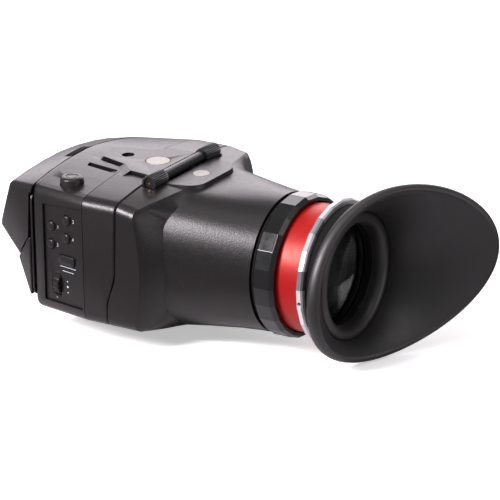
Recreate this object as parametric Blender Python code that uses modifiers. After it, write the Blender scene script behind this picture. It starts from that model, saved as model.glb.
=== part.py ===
"""Electronic viewfinder with a loupe hood that flips up, modelled piece by piece.

Lengths are metres. +Z is up, +Y points away from the eye and +X to the operator's right.
Everything is laid out round the optical axis, with Y = 0 where the hood meets the housing,
and then carried by one empty that puts the world origin on the mounting platform's flat top.
"""
import math

import bmesh
import bpy
from mathutils import Matrix, Vector

# Fits that all pieces share
CLEARANCE = 0.0003
OVERRUN = 0.002
MERGE_DISTANCE = 0.00001
ROUND_STEPS = 32
SMALL_ROUND_STEPS = 16
FACET_COUNT = 24
SHARP_ANGLE = math.radians(35)

# Housing section: flat sides, crowned top and bottom
HOUSING_HALF_WIDTH = 0.0468
HOUSING_SIDE_TOP = 0.0303
HOUSING_SIDE_BOTTOM = 0.0274
HOUSING_CROWN = 0.0036
HOUSING_CORNER_RADIUS = 0.0050
HOUSING_WALL = 0.0022
SIDE_TAPER_SHARE = 0.165
ROOF_FALL_SHARE = 0.01
CORNER_STEPS = 3
CROWN_STEPS = 12
SIDE_STEPS = 7

# Line between hood and housing, which steps forward low on the sides
LIP_LEAN = 0.0012
LIP_STEP = 0.0044
LIP_TOP = -0.0014
LIP_BOTTOM = -0.0184
LIP_GAP = 0.0006

# Rear shell with the screen's bezel
REAR_SHELL_END = 0.0173
REAR_EDGE = 0.0006
RIM_WIDTH = 0.0030
BEZEL_DEPTH = 0.0070
BEZEL_THICKNESS = 0.0016
SCREEN_BORDER = 0.0098
SCREEN_HALF_WIDTH = HOUSING_HALF_WIDTH - SCREEN_BORDER
SCREEN_HALF_HEIGHT = 0.0246
SCREEN_CORNER_RADIUS = 0.0010

# Front shell, its rolled front rim and the neck plate that closes it
FRONT_SHELL_END = 0.0467
FRONT_RIM_ROUND = 0.0020
ROOF_ROLL_SHARE = 0.08
FRONT_FLANGE = 0.0050
FRONT_FLANGE_THICKNESS = 0.0018
NECK_INSET = 0.0014
NECK_THICKNESS = 0.0010
NECK_BOTTOM = 0.0207

# Front cover and front base, given as places in the side view
COVER_INSET = 0.0045
COVER_HALF_WIDTH = HOUSING_HALF_WIDTH - COVER_INSET
COVER_TAPER_SHARE = 0.33
COVER_WALL = 0.0020
COVER_EDGE_ROUND = 0.0028
COVER_TOP = 0.0288
COVER_CROWN = 0.0048
COVER_BROW = (0.0624, 0.0271)
COVER_BROW_CROWN = 0.0026
COVER_NOSE = (0.0704, 0.0050)
COVER_CHIN = (0.0571, -0.0056)
COVER_NOTCH_HEIGHT = 0.0053
COVER_NOTCH_FORWARD = 0.0014
BASE_FOOT = (0.0492, -0.0216)
BASE_EDGE_ROUND = 0.0005
BASE_WALL = 0.0016
COVER_SPAN_STEPS = 6

# Battery behind the front cover
BATTERY_MARGIN = 0.0138
BATTERY_SIZE = ((COVER_HALF_WIDTH - BATTERY_MARGIN) * 2, 0.0075, 0.0250)
BATTERY_HEIGHT = 0.0112
BATTERY_BEVEL = 0.0015
CONTACT_SIZE = (0.0160, 0.0012, 0.0080)

# Latch that holds the front cover
LATCH_SIZE = (0.0130, 0.0030, 0.0018)
LATCH_X = -0.0034
LATCH_SUNK = 0.0002
LATCH_TRAVEL = 0.0015
LATCH_BEVEL = 0.0004

# Mounting platform, tapped bush and striker disc
PLATFORM_TOP = 0.0346
PLATFORM_THICKNESS = 0.0014
PLATFORM_GAP = 0.0007
PLATFORM_NOSE = (0.0069, 0.0330)
PLATFORM_WAIST = (0.0110, 0.0185)
PLATFORM_SHOULDER = (0.0165, 0.0125)
PLATFORM_TAIL = (0.0178, 0.0012)
MOUNT_POINT_Y = 0.0170
BUSH_Y = 0.0244
BUSH_RADIUS = 0.0046
BUSH_BORE_RADIUS = 0.0028
BUSH_LENGTH = 0.0060
STRIKER_Y = 0.0087
STRIKER_RADIUS = 0.0053
STRIKER_THICKNESS = 0.0008
STRIKER_PROUD = 0.00005

# Hinge between housing and hood
HINGE_Y = -0.0037
HINGE_Z = 0.0340
HINGE_BAR_RADIUS = 0.0024
HINGE_BAR_HALF_LENGTH = 0.0152
HINGE_BARREL_RADIUS = 0.0035
HINGE_HALF_LENGTH = 0.0261
HINGE_PIN_RADIUS = 0.0012
HINGE_SCREW_RADIUS = 0.0021
HINGE_SCREW_DEPTH = 0.0016
HINGE_RIB_COUNT = 24
HINGE_RIB_DEPTH = 0.0003
HINGE_FOOT_BACK = 0.0030
HINGE_FOOT_FRONT = 0.0026

# Power button and its switch
POWER_MARGIN = 0.0123
POWER_PLACE = (POWER_MARGIN - HOUSING_HALF_WIDTH, 0.0305)
POWER_RADIUS = 0.0051
POWER_PROUD = 0.0033
POWER_SKIRT = 0.0036
POWER_DOME = 0.0007
POWER_TRAVEL = 0.0008
POWER_SWITCH_SIZE = (0.0070, 0.0070, 0.0030)
POWER_BOARD_SIZE = (0.0110, 0.0180, 0.0012)
POWER_POST_SIZE = (0.0030, 0.0030)

# Sound slit in the roof
SLIT_START = (-0.0159, 0.0345)
SLIT_END = (-0.0189, 0.0184)
SLIT_WIDTH = 0.0015

# Key panel on the left side: places run forward from the seam and up from the axis
PANEL_REAR = 0.0013
PANEL_FRONT = 0.0234
PANEL_TOP_REAR = 0.0244
PANEL_TOP_FRONT = 0.0221
PANEL_BOTTOM = -0.0215
PANEL_RECESS = 0.0010
PANEL_THICKNESS = 0.0016
KEY_PLACES = ((0.0193, 0.0130), (0.0100, 0.0175), (0.0197, 0.0046), (0.0104, 0.0091))
KEY_RADIUS = 0.0021
KEY_PROUD = 0.0012
KEY_DOME = 0.0006
KEY_DOME_SHARES = (0.6, 0.9)
KEY_SKIRT = 0.0008
KEY_TRAVEL = 0.0006
MENU_PLACE = (0.0104, -0.0012)
MENU_SIZE = (0.0092, 0.0041)
KEY_BOARD_THICKNESS = 0.0012
KEY_BOARD_MARGIN = 0.0015
KEY_BOARD_BOTTOM = -0.0055
KEY_SWITCH_SIZE = 0.0040
KEY_SWITCH_HEIGHT = 0.0016

# Jog wheel in its dished recess
JOG_PLACE = (0.0167, -0.0137)
JOG_RADIUS = 0.0055
JOG_WIDTH = 0.0029
JOG_DISH_HALF_SIZE = (0.0037, 0.0066)
JOG_DISH_DEPTH = 0.0008
JOG_SLOT_HEIGHT = 0.0101
JOG_CENTRE_DEPTH = 0.0047
JOG_NOTCH_RADIUS = 0.0007
JOG_NOTCH_COUNT = 16
JOG_AXLE_RADIUS = 0.0008
JOG_AXLE_LENGTH = 0.0076
JOG_YOKE_WALL = 0.0012
JOG_YOKE_BACK = 0.0080
JOG_YOKE_HEIGHT = 0.0050
JOG_PRESS_TRAVEL = 0.0006
JOG_SWITCH_DEPTH = 0.0022

# Screen stack behind the bezel, listed from the eye forward
WINDOW_MARGIN = 0.0046
WINDOW_HEIGHT_MARGIN = 0.0020
WINDOW_SIZE = (
    (HOUSING_HALF_WIDTH - HOUSING_WALL - WINDOW_MARGIN) * 2,
    (HOUSING_SIDE_BOTTOM - WINDOW_HEIGHT_MARGIN) * 2,
)
WINDOW_THICKNESS = 0.0014
GASKET_STEP = 0.0005
GASKET_BORDER = 0.0018
GASKET_SIZE = (WINDOW_SIZE[0] - GASKET_STEP * 2, WINDOW_SIZE[1] - GASKET_STEP)
GASKET_OPENING = (GASKET_SIZE[0] - GASKET_BORDER * 2, GASKET_SIZE[1] - GASKET_BORDER * 2)
GASKET_THICKNESS = 0.0008
SCREEN_PANEL_STEP = 0.0010
SCREEN_PANEL_SIZE = (WINDOW_SIZE[0] - SCREEN_PANEL_STEP * 2, WINDOW_SIZE[1] - SCREEN_PANEL_STEP / 4)
SCREEN_PANEL_THICKNESS = 0.0047
BRACKET_MARGIN = 0.0016
BRACKET_HEIGHT_MARGIN = 0.0029
BRACKET_SIZE = (
    (HOUSING_HALF_WIDTH - HOUSING_WALL - BRACKET_MARGIN) * 2,
    (HOUSING_SIDE_BOTTOM - BRACKET_HEIGHT_MARGIN) * 2,
)
BRACKET_THICKNESS = 0.0010
HEAT_PLATE_MARGIN = 0.0168
HEAT_PLATE_SIZE = ((HOUSING_HALF_WIDTH - HEAT_PLATE_MARGIN) * 2, 0.0400)
HEAT_PLATE_THICKNESS = 0.0015
BOARD_MARGIN = 0.0138
BOARD_SIZE = ((HOUSING_HALF_WIDTH - BOARD_MARGIN) * 2, 0.0420)
BOARD_THICKNESS = 0.0016
BOARD_STANDOFF = 0.0040
STANDOFF_RADIUS = 0.0022
STANDOFF_PLACE_SHARES = (0.42, 0.40)
CHIP_SIZES = ((0.0180, 0.0018, 0.0180), (0.0120, 0.0014, 0.0090), (0.0100, 0.0030, 0.0100))
CHIP_PLACE_SHARES = ((-0.16, 0.10), (0.22, 0.16), (0.20, -0.24))
RIBBON_WIDTH = 0.0200
RIBBON_THICKNESS = 0.0004
RIBBON_LIFT = 0.0030

# Connector panel on the right side: places run back from the front edge
CONNECTOR_PANEL_SIZE = (0.0225, 0.0440)
CONNECTOR_PANEL_CENTRE = (0.01385, 0.0010)
COAX_HEIGHTS = (0.0150, 0.0010)
COAX_PLACE = 0.0092
COAX_RADIUS = 0.0048
COAX_BORE_RADIUS = 0.0034
COAX_LENGTH = 0.0085
COAX_PIN_RADIUS = 0.0008
COAX_PIN_RECESS = 0.0020
COAX_FLANGE_RADIUS = 0.0056
COAX_FLANGE_THICKNESS = 0.0012
VIDEO_SOCKET_HEIGHTS = (0.0125, -0.0065)
VIDEO_SOCKET_PLACE = 0.0200
VIDEO_SOCKET_SIZE = (0.0095, 0.0058, 0.0150)
VIDEO_SOCKET_WALL = 0.0005
PHONE_JACK_HEIGHT = -0.0125
PHONE_JACK_RADIUS = 0.0040
PHONE_JACK_BORE_RADIUS = 0.0018
PHONE_JACK_LENGTH = 0.0085
PHONE_JACK_PROUD = 0.0010

# Case screws in the underside and the rubber pad between them
SCREW_MARGIN = 0.0138
SCREW_FRONT_STEP = 0.0020
SCREW_REAR_X = HOUSING_HALF_WIDTH - SCREW_MARGIN
SCREW_FRONT_X = SCREW_REAR_X - SCREW_FRONT_STEP
SCREW_PLACES = (
    (-SCREW_REAR_X, 0.0225), (SCREW_REAR_X, 0.0225), (-SCREW_FRONT_X, 0.0380), (SCREW_FRONT_X, 0.0380),
)
SCREW_HEAD_RADIUS = 0.0021
SCREW_HEAD_HEIGHT = 0.0012
SCREW_SHANK_RADIUS = 0.0010
SCREW_SHANK_LENGTH = 0.0042
SCREW_SUNK = 0.0004
SCREW_SOCKET_RADIUS = 0.0009
SCREW_SOCKET_DEPTH = 0.0006
PAD_SIZE = (0.0360, 0.0120, 0.0016)
PAD_Y = 0.0300
PAD_SUNK = 0.0006
PAD_CORNER_RADIUS = 0.0030

# Lenses and the tube that holds them, which the round pieces follow
LENS_RADIUS = 0.0252
LENS_FIT = 0.0004
LENS_TUBE_BORE_RADIUS = LENS_RADIUS + LENS_FIT
LENS_TUBE_WALL = 0.0025
LENS_TUBE_RADIUS = LENS_TUBE_BORE_RADIUS + LENS_TUBE_WALL

# Hood: box part, sloping shoulder and barrel
HOOD_WALL = 0.0022
HOOD_ROOF_DROP = 0.0016
SHOULDER_CORNER_Y = -0.0098
SHOULDER_CORNER_RADIUS = 0.0550
SHOULDER_SLOPE_SHARE = 0.50
ROOT_SLOPE_SHARE = 0.24
ROOT_HALF_WIDTH = 0.0372
ROOT_HALF_HEIGHT = 0.0307
ROOT_CORNER_RADIUS = 0.0240
SHOULDER_ROUND = 0.0022
BARREL_END_Y = -0.0576
BARREL_GROWTH = 0.0028
BARREL_END_RADIUS = LENS_TUBE_RADIUS + BARREL_GROWTH
BARREL_MIDDLE_SHARES = (0.30, 0.62)
PLATEAU_TOP = 0.0328
PLATEAU_BACK_Y = -0.0195
PLATEAU_BACK_HALF_WIDTH = 0.0140
PLATEAU_FRONT_HALF_WIDTH = 0.0185
PLATEAU_FRONT_Y = -0.0070
PLATEAU_CORNER = 0.0040
PLATEAU_BOTTOM = 0.0285
TROUGH_FLOOR = 0.0312
TROUGH_END_GAP = 0.0007
TROUGH_HALF_WIDTH = HINGE_HALF_LENGTH + TROUGH_END_GAP
HOOD_MAGNET_Y = -0.0137
HOOD_MAGNET_RADIUS = 0.0038
HOOD_MAGNET_THICKNESS = 0.0012
HOOD_MAGNET_PROUD = 0.00005

# Mask inside the hood
MASK_BACK_Y = -0.0036
MASK_THICKNESS = 0.0012
MASK_ROOF_DROP = 0.0006
MASK_BORDER = (0.0071, 0.0009)
MASK_HALF_OPENING = (
    HOUSING_HALF_WIDTH - HOOD_WALL - CLEARANCE - MASK_BORDER[0],
    HOUSING_SIDE_BOTTOM - HOOD_WALL - CLEARANCE - MASK_BORDER[1],
)

# Focus ring, lens tube and optics, as distances from the gap plane towards the eye
FOCUS_START = 0.0588
FOCUS_END = 0.0690
FOCUS_FIT = 0.0008
FOCUS_WALL = 0.0027
FOCUS_BORE_RADIUS = LENS_TUBE_RADIUS + FOCUS_FIT
FOCUS_RADIUS = FOCUS_BORE_RADIUS + FOCUS_WALL
FOCUS_REAR_CHAMFER = 0.0009
FOCUS_FACET_TURN = math.radians(2.5)
RACE_FIT = 0.0004
RACE_WALL = 0.0015
RACE_BORE_RADIUS = LENS_TUBE_RADIUS + RACE_FIT
RACE_RADIUS = RACE_BORE_RADIUS + RACE_WALL
RACE_LENGTH = 0.0021
LENS_TUBE_START = 0.0430
LENS_TUBE_END = 0.0822
FIELD_LENS_START = 0.0465
LENS_EDGE_THICKNESS = 0.0024
LENS_CROWN = 0.0028
EYE_LENS_INSET = 0.0027
EYE_LENS_END = LENS_TUBE_END - EYE_LENS_INSET
SPACER_WALL = 0.0018
SPACER_BORE_RADIUS = LENS_RADIUS - SPACER_WALL
LENS_RING_WIDTH = 0.0016
LENS_RING_WALL = 0.0026
LENS_RING_BORE_RADIUS = LENS_RADIUS - LENS_RING_WALL
BRIGHT_RING_START = LENS_TUBE_END + CLEARANCE
BRIGHT_RING_THICKNESS = 0.0026
BRIGHT_RING_END = BRIGHT_RING_START + BRIGHT_RING_THICKNESS
BRIGHT_RING_GROWTH = 0.0044
BRIGHT_RING_STEP = 0.0024
BRIGHT_RING_RADIUS = LENS_TUBE_RADIUS + BRIGHT_RING_GROWTH
BRIGHT_RING_BORE_RADIUS = LENS_RADIUS - BRIGHT_RING_STEP
BRIGHT_RING_CHAMFER = 0.0005
SET_SCREW_RADIUS = 0.0007
SET_SCREW_LENGTH = 0.0028
SET_SCREW_SUNK = 0.0002
SET_SCREW_ANGLE = math.radians(206)

# Eyecup: a rubber neck that flares to a lopsided rim, long on the temple side
CUP_NECK_GAP = 0.0009
CUP_NECK_START = BRIGHT_RING_END + CUP_NECK_GAP
CUP_CORE_GROWTH = 0.0009
CUP_CORE_WALL = 0.0024
CUP_CORE_RADIUS = LENS_TUBE_RADIUS + CUP_CORE_GROWTH
CUP_CORE_BORE_RADIUS = CUP_CORE_RADIUS - CUP_CORE_WALL
CUP_CORE_LENGTH = 0.0033
CUP_NECK_GROWTH = 0.0033
CUP_NECK_STEP = 0.0055
CUP_ROLL_STEP = 0.0039
CUP_NECK_RADIUS = LENS_TUBE_RADIUS + CUP_NECK_GROWTH
CUP_NECK_BORE_RADIUS = LENS_TUBE_RADIUS - CUP_NECK_STEP
CUP_ROLL_RADIUS = LENS_TUBE_RADIUS - CUP_ROLL_STEP
CUP_ROLL_DEPTH = 0.0056
CUP_ROLL_Y = CUP_NECK_START + CUP_ROLL_DEPTH
CUP_VALLEY_STEP = 0.0023
CUP_VALLEY_RADIUS = LENS_TUBE_RADIUS - CUP_VALLEY_STEP
CUP_VALLEY_DEPTH = 0.0009
CUP_VALLEY_Y = CUP_ROLL_Y - CUP_VALLEY_DEPTH
CUP_WALL = 0.0022
CUP_RIM_CENTRE = (0.0065, 0.1074, 0.0014)
CUP_RIM_HALF_WIDTH = 0.0437
CUP_RIM_HALF_HEIGHT = 0.0379
CUP_RIM_SWEEP = 0.0206
CUP_RIM_CURL = 0.0048
CUP_RIM_TILT = 0.0046
CUP_STEPS = 40
CUP_FLARE_SHARES = (0.10, 0.28, 0.50, 0.74, 0.92)
CUP_WAIST_SHARE = 0.55
CUP_LIP_HALF_THICKNESS = 0.0021
CUP_LIP_HALF_DEPTH = 0.0024
CUP_LIP_SWING = 0.0008
CUP_LIP_ANGLES = (-60, -30, 0, 35, 70, 105, 140, 180)

COLLECTION_NAME = "electronic_viewfinder"
CUTTER_COLLECTION_NAME = "cutters"


def clear_scene():
    """Start from nothing."""
    for old in list(bpy.data.objects):
        bpy.data.objects.remove(old, do_unlink=True)


def new_collection(name):
    """Make a collection and put it in the scene."""
    made = bpy.data.collections.new(name)
    bpy.context.scene.collection.children.link(made)
    return made


def new_material(name, colour, roughness, metallic=0.0):
    """Make a Principled material."""
    made = bpy.data.materials.new(name)
    made.use_nodes = True
    shader = made.node_tree.nodes["Principled BSDF"]
    shader.inputs["Base Color"].default_value = (*colour, 1.0)
    shader.inputs["Roughness"].default_value = roughness
    shader.inputs["Metallic"].default_value = metallic
    return made


clear_scene()
PARTS = new_collection(COLLECTION_NAME)
CUTTERS = new_collection(CUTTER_COLLECTION_NAME)
MATERIALS = {
    "case": new_material("satin_black_case", (0.030, 0.028, 0.029), 0.45),
    "inner": new_material("matte_black_inner", (0.012, 0.012, 0.012), 0.80),
    "key": new_material("moulded_key", (0.035, 0.033, 0.034), 0.40),
    "steel": new_material("bright_steel", (0.72, 0.71, 0.70), 0.30, 1.0),
    "black_metal": new_material("black_anodised", (0.015, 0.015, 0.017), 0.22, 0.6),
    "red_metal": new_material("red_anodised", (0.62, 0.018, 0.022), 0.30, 0.6),
    "bright_metal": new_material("bright_plated", (0.85, 0.85, 0.87), 0.12, 1.0),
    "rubber": new_material("eyecup_rubber", (0.026, 0.025, 0.025), 0.75),
    "glass": new_material("lens_glass", (0.60, 0.64, 0.66), 0.05),
    "screen": new_material("screen_glass", (0.010, 0.011, 0.013), 0.08),
    "board": new_material("circuit_board", (0.020, 0.100, 0.045), 0.50),
    "brass": new_material("plated_brass", (0.70, 0.55, 0.28), 0.30, 1.0),
}


def new_empty(name, place=(0.0, 0.0, 0.0), turn=0.0, parent=None):
    """Make an empty that carries other objects."""
    made = bpy.data.objects.new(name, None)
    made.location = place
    made.rotation_euler = (0.0, 0.0, turn)
    made.parent = parent
    made.hide_render = True
    PARTS.objects.link(made)
    return made


FRAME = new_empty("optical_frame", (0.0, -MOUNT_POINT_Y, -PLATFORM_TOP))
SIDE_ANGLE = math.atan(SIDE_TAPER_SHARE)
LEFT_SIDE = new_empty("left_side", (-HOUSING_HALF_WIDTH, REAR_SHELL_END, 0.0), -SIDE_ANGLE, FRAME)
FRONT_HALF_WIDTH = HOUSING_HALF_WIDTH - SIDE_TAPER_SHARE * (FRONT_SHELL_END - REAR_SHELL_END)
RIGHT_SIDE = new_empty("right_side", (FRONT_HALF_WIDTH, FRONT_SHELL_END, 0.0), math.pi + SIDE_ANGLE, FRAME)
EYE_TURN = (math.radians(90), 0.0, 0.0)
OUTWARD_TURN = (0.0, math.radians(-90), 0.0)
NO_TURN = (0.0, 0.0, 0.0)


def add_mesh_object(name, form, material, place, parent, cutter):
    """Turn a bmesh into an object whose origin is at its place."""
    bmesh.ops.recalc_face_normals(form, faces=form.faces)
    mesh = bpy.data.meshes.new(name)
    form.to_mesh(mesh)
    form.free()
    made = bpy.data.objects.new(name, mesh)
    made.location = place
    made.parent = parent or FRAME
    if cutter:
        CUTTERS.objects.link(made)
        made.hide_render = True
        made.display_type = "WIRE"
    else:
        PARTS.objects.link(made)
        mesh.materials.append(MATERIALS[material])
    return made


def soften(made):
    """Shade smooth, with creases kept where faces meet sharply."""
    made.data.shade_smooth()
    made.data.set_sharp_from_angle(angle=SHARP_ANGLE)
    return made


def box(name, size, place, material=None, parent=None, bevel=0.0, cutter=False):
    """A box of a full size, centred on its place."""
    form = bmesh.new()
    bmesh.ops.create_cube(form, size=1.0, matrix=Matrix.Diagonal((*size, 1.0)))
    made = add_mesh_object(name, form, material, place, parent, cutter)
    if bevel:
        add_bevel(made, bevel)
    return made


def rod(name, radius, length, axis, place, material=None, parent=None, steps=ROUND_STEPS, cutter=False):
    """A cylinder along axis X, Y or Z, centred on its place."""
    turns = {"X": Matrix.Rotation(math.pi / 2, 4, "Y"), "Y": Matrix.Rotation(math.pi / 2, 4, "X")}
    form = bmesh.new()
    bmesh.ops.create_cone(
        form, cap_ends=True, segments=steps, radius1=radius, radius2=radius, depth=length,
        matrix=turns.get(axis, Matrix.Identity(4)))
    made = add_mesh_object(name, form, material, place, parent, cutter)
    return made if cutter else soften(made)


def prism(name, outline, low, high, material=None, parent=None, place=(0.0, 0.0, 0.0), cutter=False):
    """A flat outline of (x, y) points, extruded in Z from low to high."""
    form = bmesh.new()
    corners = [form.verts.new((x, y, low)) for x, y in outline]
    face = form.faces.new(corners)
    grown = bmesh.ops.extrude_face_region(form, geom=[face])
    moved = [item for item in grown["geom"] if isinstance(item, bmesh.types.BMVert)]
    bmesh.ops.translate(form, verts=moved, vec=(0.0, 0.0, high - low))
    return add_mesh_object(name, form, material, place, parent, cutter)


def turned(name, profile, material, place=(0.0, 0.0, 0.0), parent=None, steps=ROUND_STEPS, rotation=EYE_TURN,
           smooth=True, closed=True):
    """A turned piece: (radius, distance) points spun about an axis that points at the eye."""
    mesh = bpy.data.meshes.new(name)
    count = len(profile)
    last = count if closed else count - 1
    edges = [(index, (index + 1) % count) for index in range(last)]
    mesh.from_pydata([(radius, 0.0, along) for radius, along in profile], edges, [])
    mesh.materials.append(MATERIALS[material])
    made = bpy.data.objects.new(name, mesh)
    made.location = place
    made.rotation_euler = rotation
    made.parent = parent or FRAME
    PARTS.objects.link(made)
    screw = made.modifiers.new("turn", "SCREW")
    screw.steps = steps
    screw.render_steps = steps
    screw.use_merge_vertices = True
    screw.merge_threshold = MERGE_DISTANCE
    screw.use_smooth_shade = smooth
    return made


def skin(name, rings, material=None, parent=None, looped=False, capped=True, cutter=False):
    """Faces through rings of matching points; a loop of rings makes a hollow band."""
    form = bmesh.new()
    rows = [[form.verts.new(point) for point in ring] for ring in rings]
    pairs = list(zip(rows, rows[1:]))
    if looped:
        pairs.append((rows[-1], rows[0]))
    for row, following in pairs:
        count = len(row)
        for index in range(count):
            after = (index + 1) % count
            form.faces.new((row[index], row[after], following[after], following[index]))
    if capped and not looped:
        form.faces.new(rows[0])
        form.faces.new(rows[-1])
    return add_mesh_object(name, form, material, (0.0, 0.0, 0.0), parent, cutter)


def add_bevel(made, width, segments=2):
    """Round the sharp edges."""
    bevel = made.modifiers.new("round", "BEVEL")
    bevel.width = width
    bevel.segments = segments
    bevel.limit_method = "ANGLE"
    bevel.angle_limit = SHARP_ANGLE


def join(made, other):
    """Union another solid into this one."""
    other.hide_render = True
    other.display_type = "WIRE"
    step = made.modifiers.new("join", "BOOLEAN")
    step.operation = "UNION"
    step.object = other


def cut(made, other):
    """Take another solid away from this one."""
    step = made.modifiers.new("cut", "BOOLEAN")
    step.operation = "DIFFERENCE"
    step.object = other


def arc(centre, radius, start, end, steps):
    """Points on an arc, angles in degrees."""
    angles = [math.radians(start + (end - start) * index / steps) for index in range(steps + 1)]
    return [(centre[0] + radius * math.cos(a), centre[1] + radius * math.sin(a)) for a in angles]


def crowned_outline(half_width, top, bottom, top_crown, bottom_crown, radius):
    """Section outline in (x, z): rounded corners with a bowed top and bottom."""
    reach = half_width - radius
    right_top = arc((reach, top - radius), radius, 0, 90, CORNER_STEPS)
    left_top = arc((-reach, top - radius), radius, 90, 180, CORNER_STEPS)
    left_bottom = arc((-reach, bottom + radius), radius, 180, 270, CORNER_STEPS)
    right_bottom = arc((reach, bottom + radius), radius, 270, 360, CORNER_STEPS)
    shares = [1 - 2 * index / CROWN_STEPS for index in range(1, CROWN_STEPS)]
    roof = [(reach * share, top + top_crown * (1 - share * share)) for share in shares]
    floor = [(-reach * share, bottom - bottom_crown * (1 - share * share)) for share in shares]
    rise = top - bottom - radius * 2
    heights = [bottom + radius + rise * index / SIDE_STEPS for index in range(1, SIDE_STEPS)]
    right_side = [(half_width, height) for height in heights]
    left_side = [(-half_width, height) for height in reversed(heights)]
    return right_top + roof + left_top + left_side + left_bottom + floor + right_bottom + right_side


def housing_outline(inset, y, roof_share=1.0):
    """The housing's section, drawn in by an inset; forward of the seam it tapers."""
    forward = max(0.0, y - REAR_SHELL_END)
    half_width = HOUSING_HALF_WIDTH - SIDE_TAPER_SHARE * forward - inset
    top = HOUSING_SIDE_TOP - ROOF_FALL_SHARE * forward - inset * roof_share
    radius = max(HOUSING_CORNER_RADIUS - inset, SCREEN_CORNER_RADIUS)
    return crowned_outline(half_width, top, inset - HOUSING_SIDE_BOTTOM, HOUSING_CROWN, HOUSING_CROWN, radius)


def lip_y(z):
    """Where the line between hood and housing lies at a height."""
    lean = min(1.0, max(0.0, (HOUSING_SIDE_TOP - z) / (HOUSING_SIDE_TOP - LIP_TOP)))
    share = min(1.0, max(0.0, (LIP_TOP - z) / (LIP_TOP - LIP_BOTTOM)))
    return LIP_LEAN * lean + LIP_STEP * share * share * (3 - 2 * share)


def ring_at(outline, y):
    """Place an (x, z) outline at one y."""
    return [(x, y, z) for x, z in outline]


def ring_at_lip(outline, offset):
    """Place an (x, z) outline along the lip line, moved in y by an offset."""
    return [(x, lip_y(z) + offset, z) for x, z in outline]


def rounded_rectangle(half_width, half_height, radius, steps=CORNER_STEPS):
    """A centred rounded rectangle as (x, y) points."""
    reach_x = half_width - radius
    reach_y = half_height - radius
    points = arc((reach_x, reach_y), radius, 0, 90, steps)
    points += arc((-reach_x, reach_y), radius, 90, 180, steps)
    points += arc((-reach_x, -reach_y), radius, 180, 270, steps)
    points += arc((reach_x, -reach_y), radius, 270, 360, steps)
    return points


def roof_height(x, y):
    """Height of the housing's outer roof over a place."""
    forward = max(0.0, y - REAR_SHELL_END)
    reach = HOUSING_HALF_WIDTH - SIDE_TAPER_SHARE * forward - HOUSING_CORNER_RADIUS
    return HOUSING_SIDE_TOP - ROOF_FALL_SHARE * forward + HOUSING_CROWN * (1 - (x / reach) ** 2)


def floor_height(x, y):
    """Height of the housing's outer underside over a place."""
    reach = HOUSING_HALF_WIDTH - SIDE_TAPER_SHARE * max(0.0, y - REAR_SHELL_END) - HOUSING_CORNER_RADIUS
    return -HOUSING_SIDE_BOTTOM - HOUSING_CROWN * (1 - (x / reach) ** 2)


def make_rear_shell():
    """Rear shell: outer band, rim round the screen and bezel plate with its opening."""
    start = LIP_GAP / 2
    end = REAR_SHELL_END - CLEARANCE / 2
    back = BEZEL_DEPTH + BEZEL_THICKNESS
    opening = crowned_outline(
        SCREEN_HALF_WIDTH, SCREEN_HALF_HEIGHT, -SCREEN_HALF_HEIGHT, 0.0, 0.0, SCREEN_CORNER_RADIUS)
    rings = [
        ring_at_lip(housing_outline(REAR_EDGE, 0.0), start),
        ring_at_lip(housing_outline(0.0, 0.0), start + REAR_EDGE),
        ring_at(housing_outline(0.0, end), end),
        ring_at(housing_outline(HOUSING_WALL, end), end),
        ring_at(housing_outline(HOUSING_WALL, back), back),
        ring_at(opening, back),
        ring_at(opening, BEZEL_DEPTH),
        ring_at(housing_outline(RIM_WIDTH, BEZEL_DEPTH), BEZEL_DEPTH),
        ring_at_lip(housing_outline(RIM_WIDTH, 0.0), start),
    ]
    return soften(skin("rear_shell", rings, "case", looped=True))


def make_front_shell():
    """Front shell: tapered band with a rolled front rim and an inner flange."""
    start = REAR_SHELL_END + CLEARANCE / 2
    end = FRONT_SHELL_END
    roll = FRONT_RIM_ROUND
    flange_back = end - FRONT_FLANGE_THICKNESS
    rings = [ring_at(housing_outline(0.0, start), start)]
    for angle in (0, 30, 60, 90):
        inset = roll * (1 - math.cos(math.radians(angle)))
        y = end - roll + roll * math.sin(math.radians(angle))
        rings.append(ring_at(housing_outline(inset, y, ROOF_ROLL_SHARE), y))
    rings += [
        ring_at(housing_outline(FRONT_FLANGE, end), end),
        ring_at(housing_outline(FRONT_FLANGE, flange_back), flange_back),
        ring_at(housing_outline(HOUSING_WALL, flange_back), flange_back),
        ring_at(housing_outline(HOUSING_WALL, start), start),
    ]
    return soften(skin("front_shell", rings, "case", looped=True))


def make_neck_plate():
    """Plate that closes the front shell and shows as a thin drawn-in neck."""
    start = FRONT_SHELL_END + CLEARANCE
    end = start + NECK_THICKNESS
    half_width = HOUSING_HALF_WIDTH - SIDE_TAPER_SHARE * (start - REAR_SHELL_END) - NECK_INSET
    outline = crowned_outline(half_width, NECK_TOP, -NECK_BOTTOM, HOUSING_CROWN, 0.0, HOUSING_CORNER_RADIUS - NECK_INSET)
    return soften(skin("neck_plate", [ring_at(outline, start), ring_at(outline, end)], "case"))


COVER_START = FRONT_SHELL_END + CLEARANCE + NECK_THICKNESS + CLEARANCE
COVER_ROOF_START = FRONT_SHELL_END + CLEARANCE
NECK_TOP = COVER_TOP - COVER_WALL - CLEARANCE * 4


def cover_half_width(y):
    """Half width of the front cover and base at a y."""
    return COVER_HALF_WIDTH - COVER_TAPER_SHARE * (y - COVER_START)


def cover_rings(points, crowns, wall):
    """The cover's side outline, repeated across its width with a crowned roof."""
    shares = [2 * index / COVER_SPAN_STEPS - 1 for index in range(COVER_SPAN_STEPS + 1)]
    rings = []
    for share in shares:
        rise = 1 - share * share
        rings.append([((cover_half_width(y) - wall) * share, y, z + crown * rise)
                      for (y, z), crown in zip(points, crowns)])
    return rings


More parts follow.
